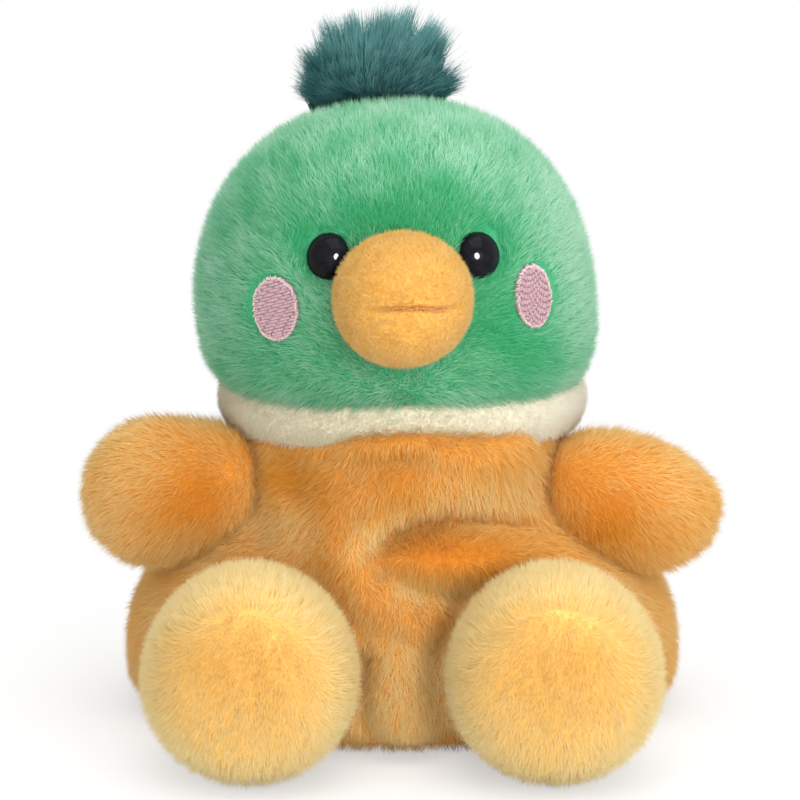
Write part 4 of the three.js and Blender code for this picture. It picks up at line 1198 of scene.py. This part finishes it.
def from_segment(x, z, x1, z1, x2, z2):
    """The distance from points of the front to a line between two places, all in mm."""
    run = np.array([x2 - x1, z2 - z1])
    t = np.clip(((x - x1) * run[0] + (z - z1) * run[1]) / (run @ run), 0, 1)
    return np.hypot(x - x1 - t * run[0], z - z1 - t * run[1])


def deepest(x, z, table):
    """The greatest depth that the lines of a table give at places."""
    total = np.zeros_like(x)
    for *line, depth, breadth in table:
        total = np.maximum(total, depth * bell(from_segment(x, z, *line), breadth))
    return total


def front_relief(x, z):
    """How far the slack front lies in (+) or out (-) at a place, in mm."""
    over = z - np.interp(x, *np.transpose(HEM))
    roll = HEM_ROLL * smooth_step(x, *HEM_ROLL_RISE) * bell(over + HEM_ROLL_DROP, HEM_ROLL_WIDTH)
    tuck = HEM_TUCK * smooth_step(over, *HEM_TUCK_RISE)
    return deepest(x, z, CREASES) - deepest(x, z, RIDGES) - soft_spots(x, z, SWELLS) - roll + tuck


def facing_front(forward, z):
    """1 on the front, where the folds are, and 0 on the sides and at the floor."""
    return smooth_step(forward / BODY_FRONT, *FOLD_FADE) * smooth_step(z, *FLOOR_FADE)


# %% [markdown]
# The body's grid takes these folds on its front and gets its seams: two up the sides and one round the
# seat. The cloth is sewn to the frame's panels. What lies against its front asks where that is.


# %% Body cloth
def body_grid(inset, rings, around, low=0.0, high=60 * MM):
    """The slack form, as far under the frame's solid as the inset, between two heights."""
    table = curve_through(BODY_OUTLINE, rings)
    heights = np.maximum(table[:, 0] * BODY_HEIGHT, inset * 0.7)
    table, heights = (v[(heights > low) & (heights < high)] for v in (table, heights))
    half_x = table[:, 1] * BODY_HALF_WIDTH - inset
    front, back = table[:, 2] * BODY_FRONT - inset, table[:, 2] * BODY_BACK - inset
    seat = np.linspace(0.03, 0.97, SEAT_RINGS)
    heights = np.concatenate([np.full(SEAT_RINGS, heights[0]), heights])
    half_x, front, back = (np.concatenate([seat * v[0], v]) for v in (half_x, front, back))
    grid = oval_stack(heights, half_x, front, back, BODY_POWER, around)
    facing = facing_front(-grid[..., 1], grid[..., 2])
    grid[..., 1] += front_relief(grid[..., 0] / MM, grid[..., 2] / MM) * facing * MM
    seam = bell(grid[..., 1] - SIDE_SEAM, SEAM_WIDTH) * (grid[..., 2] > BASE_SEAM)
    seam = np.maximum(seam, 0.8 * bell(grid[..., 2] - BASE_SEAM, SEAM_WIDTH))
    return pulled_in(grid, seam * SEAM_DEPTH)


orange_pile = plush_finish(
    "dyed_polyester_pile_orange", ("#e28a16", "#ea971c", "#f3a828"), ("#eab45e", "#f5c876", "#ffe8b2")
)
orange_knit = knit_finish("knit_backing_orange", "#e89a30", "#de8e26")
body_local = body_grid(PILE_DEPTH, 130, 260)
body_table = curve_through(BODY_OUTLINE, 200)


def body_size(z, inset):
    """The half width and the reaches to the front and to the back at heights."""
    share = z / BODY_HEIGHT
    wide = np.interp(share, body_table[:, 0], body_table[:, 1], right=0.01) * BODY_HALF_WIDTH
    deep = np.interp(share, body_table[:, 0], body_table[:, 2])
    return wide - inset, deep * BODY_FRONT - inset, deep * BODY_BACK - inset


def front_depth(x, z):
    """The y of the body's front cloth at its places, for what lies against it."""
    wide, reach, _ = body_size(z, PILE_DEPTH)
    ring = np.clip(1 - np.abs(x / np.maximum(wide, 0.1 * MM)) ** BODY_POWER, 0, 1) ** (1 / BODY_POWER)
    return -reach * ring + front_relief(x / MM, z / MM) * facing_front(reach * ring, z) * MM


body_cloth = closed_grid("body_cloth", body_local, orange_knit)
body_panels = ("body_base_panel", "body_front_panel", "body_back_panel")
sewn_on(body_cloth, "root", "pile_orange", *body_panels, fill=0.45)
print("body cloth", len(body_cloth.data.vertices), "points")

# %% [markdown]
# The nap of the body hangs down and outward. In the pocket and on the chest the pile stands up and is
# painted deep orange, the glow of looking into it; where it hangs under a fold, over the hips or down the
# belly, it lies flatter and is painted pale tan, a painted sheen, and between the feet this also lifts
# their shade. A painted shadow darkens the hollow beside the duck's right wing. Those places are given
# as spots and bands of the front, as an airbrush would lay them.

# %% Body pile
# Painted sheen and shade on the front: the positive bands are pale where the pile hangs under a fold, the
# negative ones deep on the ridges, as the glow of standing pile.
BODY_SHEEN_SHADE_BANDS = [  # both ends (x, z) in mm, half width, change of tone
    (-8.3, 34.9, -5, 37.6, 2.2, 0.45), (-5, 37.6, -0.3, 40.2, 2.2, 0.45), (-0.3, 40.2, 6.3, 41.9, 2.2, 0.4),
    (6.3, 41.9, 13, 42.7, 3.0, 0.4), (13, 42.7, 23, 42.6, 4.4, 0.3), (0, 29.4, 12, 28.4, 2.2, 0.5),
    (-29, 38, -17, 39, 3.5, 0.3), (-9, 22, -7, 17, 1.6, 0.3), (-12, 46, -10.4, 34, 3.6, -0.12),
    (-10.4, 34, -3, 27, 3.4, -0.02), (-3, 27, 4, 23.5, 3.2, -0.02), (-12, 44, 0, 47, 3.6, -0.12),
    (0, 47.5, 20, 50, 3.2, -0.02),
]  # fmt: skip
# Spots of painted light and shade: pale over the hips and between the feet, a painted shadow beside the
# duck's right wing, and the pocket painted deep.
BODY_SHEEN_SHADE_SPOTS = [  # middle (x, z) in mm, half sizes, change of tone
    (0.5, 11, 9, 10, 0.9), (41, 18, 9, 18, 0.35), (-41, 16, 8, 16, 0.25), (-20, 46.5, 6, 6, -0.42),
    (9.5, 34.2, 12, 2.8, -0.5),
]  # fmt: skip
BODY_LENGTH = 2.9 * MM
BODY_TONE, BODY_CLOUD, BODY_CLOUD_SIZE = 0.46, 0.05, 15 * MM
BODY_LEAN, BODY_LEAN_BY_TONE, BODY_LEAN_RANGE = 40, 60, (28, 74)  # in degrees
UNDERSIDE, UNDERSIDE_SHARE = 2.2 * MM, 0.35  # below this height the pile is thin, because the toy sits on it
FLOOR_CLEAR = 0.1 * MM
COLLAR_HALF_X, COLLAR_HALF_Y, COLLAR_INSET = 33 * MM, 28 * MM, 1.3 * MM
COLLAR_LOW, COLLAR_MEET, COLLAR_HIGH = 50.8 * MM, 54.5 * MM, 60 * MM


def front_sheen_and_shade(x, z):
    bands = sum(change * bell(from_segment(x, z, *line), half) for *line, half, change in BODY_SHEEN_SHADE_BANDS)
    return bands + soft_spots(x, z, BODY_SHEEN_SHADE_SPOTS)


def above_floor(at, aim, length):
    """Fibre lengths cut so that no tip passes the floor."""
    tip = at[:, 2] + aim[:, 2] * length
    share = (at[:, 2] - FLOOR_CLEAR) / np.maximum(at[:, 2] - tip, 1e-9)
    return length * np.where(tip < FLOOR_CLEAR, np.clip(share, 0.05, 1), 1)


def body_pile(seed):
    at, out = scatter(body_local, PILE_DENSITY, seed)
    rng = np.random.default_rng(seed + 1)
    keep = (at[:, 2] >= UNDERSIDE) | (rng.random(len(at)) < UNDERSIDE_SHARE)
    half_x, half_y = COLLAR_HALF_X - COLLAR_INSET, COLLAR_HALF_Y - COLLAR_INSET
    keep &= ~((at[:, 2] > COLLAR_LOW) & (np.hypot(at[:, 0] / half_x, at[:, 1] / half_y) < 0.97))
    at, out = at[keep], out[keep]
    # The tone of the front carries the painted sheen and shade of the bands and spots above.
    change = front_sheen_and_shade(at[:, 0] / MM, at[:, 2] / MM) * smooth_step(-at[:, 1] / BODY_FRONT, 0.25, 0.6)
    tone = BODY_TONE + BODY_CLOUD * clouds(at, BODY_CLOUD_SIZE, seed + 2) + change
    lean = np.radians(np.clip(BODY_LEAN - BODY_LEAN_BY_TONE * change, *BODY_LEAN_RANGE))
    nap = np.stack([0.55 * at[:, 0] / BODY_HALF_WIDTH, 0.35 * at[:, 1] / BODY_BACK, -np.ones(len(at))], 1)
    aim = brushed(at, out, nap, lean, seed + 3)
    short = parted(at[:, 1] - SIDE_SEAM) * parted(at[:, 2] - BASE_SEAM)
    length = above_floor(at, aim, BODY_LENGTH * short * rng.uniform(*LENGTH_SPREAD, len(at)))
    return grow("body_pile", at, out, aim, length, toned(tone, seed + 5), orange_pile, seed + 7, split=True)


for fur in body_pile(51):
    sewn_on(fur, "root", "pile_orange")

# %% [markdown]
# The neck band is a ring of cream plush between the head and the body. The head turns, tilts and nods on
# it. The band is made in two halves, a lower and an upper, which meet at one height. The pile is painted
# paler on the duck's left, where the key lamp reaches, and darker at the front under the head, as
# painted light and shade.

# %% Neck band
COLLAR_EDGE = 0.02 * MM  # a second ring this close to each edge keeps the shading of the rest flat
COLLAR_DENSITY, COLLAR_FIBRE, COLLAR_LENGTH = 18, 0.12 * MM, 1.3 * MM
COLLAR_LENGTHS, COLLAR_LEAN, COLLAR_RUFFLE, COLLAR_CLUMP = (0.7, 1.15), math.radians(56), 0.3, 3 * MM
COLLAR_TONE, COLLAR_LIT, COLLAR_CLOUD = 0.06, 0.8, 0.05
COLLAR_LIGHT_X, COLLAR_LIGHT_Y = (2 * MM, 20 * MM), (-15 * MM, 0)  # over these it goes from dark to pale
COLLAR_BELLY, COLLAR_TOP_IN = 0.05, 0.04  # how much narrower its edges are, and its top besides
COLLAR_TUCKED = 0.4 * MM  # how far its pile reaches under the body's front
COLLAR_THICKNESS = 0.1  # as a share of its half widths
cream_pile = plush_finish(
    "dyed_polyester_pile_cream", ("#d5ceaa", "#dcd5b4", "#e6dfc2"), ("#ebe4cd", "#f2ecd8", "#f8f4e5")
)
cream_knit = knit_finish("knit_backing_cream", "#ece5ce", "#e3dabf")


def collar_grid(low, high, rings, around):
    edges = [low + COLLAR_EDGE, high - COLLAR_EDGE]
    heights = np.sort(np.append(np.linspace(low, high, rings), edges))
    share = (heights - COLLAR_LOW) / (COLLAR_HIGH - COLLAR_LOW)
    wide = 1 - COLLAR_BELLY * (2 * share - 1) ** 2 - COLLAR_TOP_IN * smooth_step(share, 0.75, 1)
    half_x, half_y = COLLAR_HALF_X * wide - COLLAR_INSET, COLLAR_HALF_Y * wide - COLLAR_INSET
    return oval_stack(heights, half_x, half_y, half_y, 2, around)


def make_collar(part, low, high, seed):
    local = collar_grid(low, high, 14, 160)
    inner = local[::-1] * np.array([1 - COLLAR_THICKNESS, 1 - COLLAR_THICKNESS, 1])
    cloth = ring_grid("collar_cloth_" + part, np.concatenate([local, inner]), cream_knit)
    at, out = scatter(local, COLLAR_DENSITY, seed)
    seen = (at[:, 1] < front_depth(at[:, 0], at[:, 2]) + COLLAR_TUCKED) | (at[:, 1] > 0)
    at, out = at[seen], out[seen]
    nap = np.broadcast_to(np.array([0, 0, -1.0]), at.shape)
    aim = brushed(at, out, nap, COLLAR_LEAN, seed + 1, COLLAR_RUFFLE, COLLAR_CLUMP)
    # Painted light and shade: paler on the duck's left, where the key lamp reaches, and darker at the front
    # under the head.
    lit = smooth_step(at[:, 0], *COLLAR_LIGHT_X) + 0.3 * smooth_step(at[:, 1], *COLLAR_LIGHT_Y)
    tone = COLLAR_TONE + COLLAR_LIT * np.clip(lit, 0, 1) + COLLAR_CLOUD * clouds(at, 8 * MM, seed + 3)
    length = COLLAR_LENGTH * np.random.default_rng(seed + 2).uniform(*COLLAR_LENGTHS, len(at))
    look = {"tone": toned(tone, seed + 4), "material": cream_pile, "seed": seed + 5, "width": COLLAR_FIBRE}
    fur = grow("collar_pile_" + part, at, out, aim, length, **look)
    for ob in (cloth, *fur):
        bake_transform(ob)
    return cloth


make_collar("lower", COLLAR_LOW, COLLAR_MEET, 61)
upper = make_collar("upper", COLLAR_MEET, COLLAR_HIGH, 67)
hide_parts("collar_band")

# %% [markdown]
# Wings, feet and the tail are limbs: a stack of ovals that starts at a seam and ends in a round tip. One
# function makes each form from its table, and another its cloth, its wad and its pile, leaving out the
# fibres that would stand inside the body.

# %% Limb helpers
LIMB_RINGS, LIMB_AROUND = 70, 110
SLIMMEST = 0.05 * MM


def limb_grid(table, length, half_x, half_y, inset):
    rows = curve_through([(r[0], r[1], r[-1]) for r in table], LIMB_RINGS)
    wide = np.maximum(rows[:, 1] * half_x - inset, SLIMMEST)
    deep = np.maximum(rows[:, 2] * half_y - inset, SLIMMEST)
    return oval_stack(rows[:, 0] * (length - inset), wide, deep, deep, 2, LIMB_AROUND)


def inside_body(points, margin):
    """Whether points lie deeper than a margin inside the body."""
    wide, front, back = body_size(points[:, 2], margin)
    deep = np.where(points[:, 1] < 0, front, back)
    ring = np.abs(points[:, 0] / wide) ** BODY_POWER + np.abs(points[:, 1] / deep) ** BODY_POWER
    return (ring < 1) & (points[:, 2] < BODY_HEIGHT) & (points[:, 2] > 0)


def limb(name, local, core, place, finish, slot, panels, fill, nap, lean, tone, short, length, margin, seed):
    """A limb's cloth, pile and wad. The finish is its knit and its pile; nap, lean, tone and short are
    functions of the local points."""
    knit, pile = finish
    cloth = closed_grid(name + "_cloth", turned(local, place), knit)
    sewn_on(cloth, name, slot, *panels, fill=fill)
    at, out = scatter(local, PILE_DENSITY, seed)
    keep = ~inside_body(turned(at, place), margin)
    at, out = at[keep], out[keep]
    aim = brushed(at, out, nap(at), lean(at), seed + 2)
    long = length * short(at) * np.random.default_rng(seed + 1).uniform(*LENGTH_SPREAD, len(at))
    long = above_floor(turned(at, place), turned(aim, spin_of(place)), long)
    look = {"tone": toned(tone(at), seed + 3), "material": pile, "seed": seed + 4}
    for fur in grow(name + "_pile", at, out, aim, long, **look, place=place):
        sewn_on(fur, name, slot)
    wad(name + "_wad", turned(core, place), name, name + "_filling")


# %% [markdown]
# The wings are flat paddles of two panels, sewn into the side seams. Near the root the pile stands up and
# is painted a deep orange, the glow of looking into it; over the rest it streams outward and is painted
# pale as painted sheen, more towards the tip, so the paddle turns tan there. The duck's right wing is
# painted paler than its left.

# %% Wings
WING_LENGTH, WING_HALF_THICK = 33 * MM, 10.5 * MM
WING_HALF_HEIGHT = {"left": 13.9 * MM, "right": 14.6 * MM}
WING_ROOT = (24.6 * MM, -10.5 * MM, 40.6 * MM)
WING_DROOP = {"left": math.radians(6), "right": math.radians(1)}
WING_TRIM = {"left": 0.34, "right": 0.0}  # how far the upper edge falls away towards the tip
WING_TONE = {"left": 0.5, "right": 0.68}
WING_SEAM = 0.5 * MM
WING_GLOW_PLACE, WING_GLOW_SIZE = (1 * MM, 10 * MM), (8 * MM, 7 * MM)
WING_LEAN, WING_LEAN_GLOW = 38, 30  # in degrees
WING_TIP, WING_TIP_SHEEN, WING_CLOUD = 0.86, 0.15, 0.07
WING_FAN, WING_FALL = 0.25, 0.5  # how far the nap spreads and hangs
WING_TABLE = [
    (0, 0.5, 0.45), (0.05, 0.72, 0.75), (0.2, 0.9, 0.95), (0.4, 0.98, 1), (0.58, 1, 1),
    (0.74, 0.93, 0.93), (0.86, 0.75, 0.75), (0.95, 0.48, 0.48), (1, 0, 0),
]  # fmt: skip


def wing_glow(at):
    """1 where the wing's pile stands up near the root."""
    (x, z), (half_x, half_z) = WING_GLOW_PLACE, WING_GLOW_SIZE
    return bell(at[:, 2] - z, half_z) * bell(at[:, 0] - x, half_x)


def wing_nap(at, side, sign):
    """Out to the tip, a little apart, and hanging."""
    fall = WING_FAN * at[:, 0] / WING_HALF_HEIGHT[side] + WING_FALL * sign
    return np.stack([fall, np.zeros(len(at)), np.ones(len(at))], 1)


def wing_tone(at, side, seed):
    # Painted sheen: the pile is paler towards the tip and over the duck's right wing, and painted deep near
    # the root where it stands up.
    tip = smooth_step(at[:, 2], WING_TIP * WING_LENGTH, WING_LENGTH)
    cloud = WING_CLOUD * clouds(at, 12 * MM, seed)
    return WING_TONE[side] * (1 - wing_glow(at)) + WING_TIP_SHEEN * tip + cloud


def wing_form(side, sign, inset):
    """A wing's form along its own z, with its upper edge falling away."""
    grid = limb_grid(WING_TABLE, WING_LENGTH, WING_HALF_HEIGHT[side], WING_HALF_THICK, inset)
    upper = -sign * grid[..., 0] > 0
    grid[..., 0] *= 1 - WING_TRIM[side] * smooth_step(grid[..., 2], 6 * MM, WING_LENGTH) * upper
    return grid


def make_wing(side, sign, seed):
    name = side + "_wing"
    local = wing_form(side, sign, PILE_DEPTH)
    limb(
        name,
        pulled_in(local, bell(local[..., 1], SEAM_WIDTH) * WING_SEAM),
        wing_form(side, sign, WAD_DEPTH),
        Matrix.Translation((sign * WING_ROOT[0], WING_ROOT[1], WING_ROOT[2]))
        @ Matrix.Rotation(sign * (math.pi / 2 + WING_DROOP[side]), 4, "Y"),
        (orange_knit, orange_pile),
        "pile_orange",
        (name + "_front_panel", name + "_back_panel"),
        fill=0.6,
        nap=lambda at: wing_nap(at, side, sign),
        lean=lambda at: np.radians(WING_LEAN + WING_LEAN_GLOW * wing_glow(at)),
        tone=lambda at: wing_tone(at, side, seed + 8),
        short=lambda at: parted(at[:, 1]),
        length=BODY_LENGTH,
        margin=5 * MM,
        seed=seed,
    )


make_wing("left", 1, 71)
make_wing("right", -1, 81)

# %% [markdown]
# The feet are puffed balls: an upper that runs back under the body and a round sole that faces forward,
# with the seam between them pulled in at the top. The sole's pile is a little shorter and stands up more
# in its middle, which is painted a deep yellow, the glow of looking into it. It combs down and outward,
# and on over the rim, which is painted pale as painted sheen. The lower half is painted paler too, a
# painted light that lifts its shade.

# %% Feet
FOOT_LENGTH, FOOT_HALF_WIDTH, FOOT_HALF_HEIGHT = 42.5 * MM, 18.5 * MM, 18.7 * MM
FOOT_HEIGHT = FOOT_HALF_HEIGHT - 0.5 * MM  # the soft foot settles a little on the floor
FOOT_FLAT = 0.9 * MM
FOOT_EGG = 0.06  # how much wider it is below
FOOT_X, FOOT_HEEL, FOOT_SEAM = 25.2 * MM, -20 * MM, 36 * MM
FOOT_PILE, SOLE_SHORTER, SEAM_SHORTER = 2.7 * MM, 0.18, 0.25
FOOT_LEAN, SOLE_LEAN = 50, 9  # in degrees: everywhere, and more on the sole's middle
FOOT_TONE, RIM_PAINTED_SHEEN, MIDDLE_PAINTED_DEEP, LOW_PAINTED_LIGHT, FOOT_CLOUD = 0.52, 0.35, -0.4, 0.3, 0.04
SOLE_CROWN, OUTWARD_BACK = 26 * MM, 14 * MM  # where the sole's nap starts, and how far back the upper's runs
FOOT_TABLE = [
    (0, 0.6), (0.28, 0.76), (0.44, 0.93), (0.6, 1), (0.74, 0.985),
    (0.85, 0.92), (0.93, 0.8), (0.98, 0.56), (1, 0),
]  # fmt: skip
yellow_pile = plush_finish(
    "dyed_polyester_pile_yellow", ("#eeb24e", "#f3ba58", "#f8c76b"), ("#f4d586", "#fbe09a", "#fff1c0")
)
yellow_knit = knit_finish("knit_backing_yellow", "#f8c76c", "#f3be60")


def sole_middle(at):
    """1 in the upper middle of the sole, falling off towards the rim."""
    return bell(at[:, 0], 13 * MM) * bell(at[:, 1] - 6 * MM, 9 * MM) * (at[:, 2] > 20 * MM)


def sole_face(at):
    """1 on the round sole, 0 on the upper behind its seam."""
    return smooth_step(at[:, 2], FOOT_SEAM - 1 * MM, FOOT_SEAM + 2 * MM)


def sole_edge(at):
    """1 at the rim of the sole, 0 over its middle."""
    return smooth_step(np.hypot(at[:, 0], at[:, 1]), 8 * MM, 18 * MM)


def foot_nap(at):
    """Down and outward over the sole, then back along the upper."""
    down = np.stack([at[:, 0], at[:, 1] - SOLE_CROWN, np.zeros(len(at))], 1)
    outward = np.stack([at[:, 0], at[:, 1], np.full(len(at), -OUTWARD_BACK)], 1)
    over = sole_face(at)[:, None]
    return (outward * (1 - over) + down * over) / FOOT_HALF_HEIGHT


def foot_tone(at, seed):
    # Painted light and shade: the rim is painted pale as sheen, the lower half paler to lift its shade, and
    # the sole's middle deep.
    low = np.clip(-at[:, 1] / FOOT_HALF_HEIGHT, 0, 1)
    tone = FOOT_TONE + RIM_PAINTED_SHEEN * sole_edge(at) + MIDDLE_PAINTED_DEEP * sole_middle(at) + LOW_PAINTED_LIGHT * low
    return tone + FOOT_CLOUD * clouds(at, 10 * MM, seed)


def foot_short(at):
    """Shorter pile on the sole's middle and in the valley of its seam, which is deepest at the top."""
    seam = bell(at[:, 2] - FOOT_SEAM, 0.8 * MM) * np.clip(at[:, 1] / FOOT_HALF_HEIGHT, 0, 1)
    return (1 - SOLE_SHORTER * sole_face(at) * (1 - sole_edge(at))) * (1 - SEAM_SHORTER * seam)


def foot_form(inset):
    """A foot's form along its own z: egg-shaped, with a valley at its seam and a flat where it rests."""
    grid = limb_grid(FOOT_TABLE, FOOT_LENGTH, FOOT_HALF_WIDTH, FOOT_HALF_HEIGHT, inset)
    grid[..., 0] *= 1 - FOOT_EGG * grid[..., 1] / FOOT_HALF_HEIGHT
    upward = np.clip(grid[..., 1] / FOOT_HALF_HEIGHT, 0, 1)
    grid = pulled_in(grid, bell(grid[..., 2] - FOOT_SEAM, 0.9 * MM) * (0.1 + 0.9 * upward**2) * MM)
    grid[..., 1] = np.maximum(grid[..., 1], inset - PILE_DEPTH + FOOT_FLAT - FOOT_HEIGHT)
    return grid


def make_foot(side, sign, seed):
    name = side + "_foot"
    limb(
        name,
        foot_form(PILE_DEPTH),
        foot_form(WAD_DEPTH),
        Matrix.Translation((sign * FOOT_X, FOOT_HEEL, FOOT_HEIGHT)) @ Matrix.Rotation(math.pi / 2, 4, "X"),
        (yellow_knit, yellow_pile),
        "pile_yellow",
        (name + "_upper", name + "_sole"),
        fill=0.8,
        nap=foot_nap,
        lean=lambda at: np.radians(FOOT_LEAN + SOLE_LEAN * sole_face(at) * (1 - sole_edge(at))),
        tone=lambda at: foot_tone(at, seed + 8),
        short=foot_short,
        length=FOOT_PILE,
        margin=3 * MM,
        seed=seed,
    )


make_foot("left", 1, 91)
make_foot("right", -1, 101)

# %% [markdown]
# The tail is a short stuffed point low on the back, in the body's orange. Its tip is painted paler, a
# painted sheen.

# %% Tail
TAIL_SIZE = (23 * MM, 11.5 * MM, 7 * MM)  # length and half sizes
TAIL_TABLE = [(0, 0.85), (0.25, 1), (0.5, 0.92), (0.75, 0.66), (0.92, 0.34), (1, 0)]
TAIL_RISE, TAIL_LEAN = math.radians(35), math.radians(30)
TAIL_PLACE = (0, 30 * MM, 15 * MM)
TAIL_TONE, TAIL_TIP_SHEEN, TAIL_TIP, TAIL_CLOUD = 0.5, 0.35, (15 * MM, 21 * MM), 0.05


def tail_tone(at):
    # Painted sheen: the tip is painted paler.
    tip = TAIL_TIP_SHEEN * smooth_step(at[:, 2], *TAIL_TIP)
    return TAIL_TONE + tip + TAIL_CLOUD * clouds(at, 9 * MM, 118)


limb(
    "tail",
    limb_grid(TAIL_TABLE, *TAIL_SIZE, PILE_DEPTH),
    limb_grid(TAIL_TABLE, *TAIL_SIZE, WAD_DEPTH),
    Matrix.Translation(TAIL_PLACE) @ Matrix.Rotation(TAIL_RISE - math.pi / 2, 4, "X"),
    (orange_knit, orange_pile),
    "pile_orange",
    ("tail_skin",),
    fill=0.7,
    nap=lambda at: np.broadcast_to(np.array([0, 0.6, 1]), at.shape),
    lean=lambda at: TAIL_LEAN,
    tone=tail_tone,
    short=lambda at: 1,
    length=BODY_LENGTH,
    margin=3 * MM,
    seed=111,
)

# %% [markdown]
# Inside the body lie the pouch with the beans, in plain woven cotton, and a wad of filling over it. One
# more wad fills the head, and a flat cushion the neck. They aren't seen, but a cut or an exploded view
# shows them. The beak's filling stays from the frame and gets its finish.

# %% Inner pieces
THREAD_STEP = 0.6 * MM  # of the pouch's weave
SEAT_TOP, SEAT_GAP, CHEST_TOP = 27 * MM, 0.3 * MM, 48 * MM
NECK_WAD_LOW, NECK_WAD_HIGH = 48.6 * MM, 54 * MM
NECK_WAD_HALF_X, NECK_WAD_HALF_Y = 25 * MM, 21 * MM
pouch_weave = patterned(
    "woven_cotton_pouch",
    "ShaderNodeTexWave",
    {"Scale": 1 / THREAD_STEP / (2 * math.pi)},
    [(0.0, "#b9b4a6"), (0.7, "#e2dfd4")],
    crossed={"bands_direction": "Z"},
    bump=(0.5, 0.1 * MM),
    Roughness=0.85,
)


def neck_cushion(rings, around):
    """A flat cushion between the body's opening and the head's."""
    share = np.linspace(-1, 1, rings)
    wide = np.clip(1 - share**4, 0.01, 1) ** 0.5
    heights = NECK_WAD_LOW + (NECK_WAD_HIGH - NECK_WAD_LOW) * (share + 1) / 2
    half_y = NECK_WAD_HALF_Y * wide
    return oval_stack(heights, NECK_WAD_HALF_X * wide, half_y, half_y, 2, around)


pouch = closed_grid("bean_pouch_cloth", body_grid(WAD_DEPTH, 80, 120, high=SEAT_TOP), pouch_weave)
sewn_on(pouch, "root", "pouch_cloth", "bean_pouch")
chest = body_grid(WAD_DEPTH, 80, 120, low=SEAT_TOP + SEAT_GAP, high=CHEST_TOP)
wad("body_wad", chest, "root", "body_filling")
wad("head_wad", turned(head_grid(WAD_DEPTH, 60, 100), head_place), "head", "head_filling")
neck_wad = closed_grid("neck_wad", neck_cushion(24, 90), filling)
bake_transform(neck_wad)
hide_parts("neck_wadding")
beak_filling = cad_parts["beak_filling"].data
beak_filling.materials.clear()
beak_filling.materials.append(filling)
print("inner pieces ready, the pouch reaches mm", SEAT_TOP / MM)

# %% [markdown]
# Last, both boxes are written down, so that the looks can be held against the frame's size.

# %% Sizes and finish
size = {"cad": [list(cad_low), list(cad_high)], "visual": [list(v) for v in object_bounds()]}
for which, (low, high) in size.items():
    print(which, "box in mm", [round(a / MM, 1) for a in low], [round(b / MM, 1) for b in high])
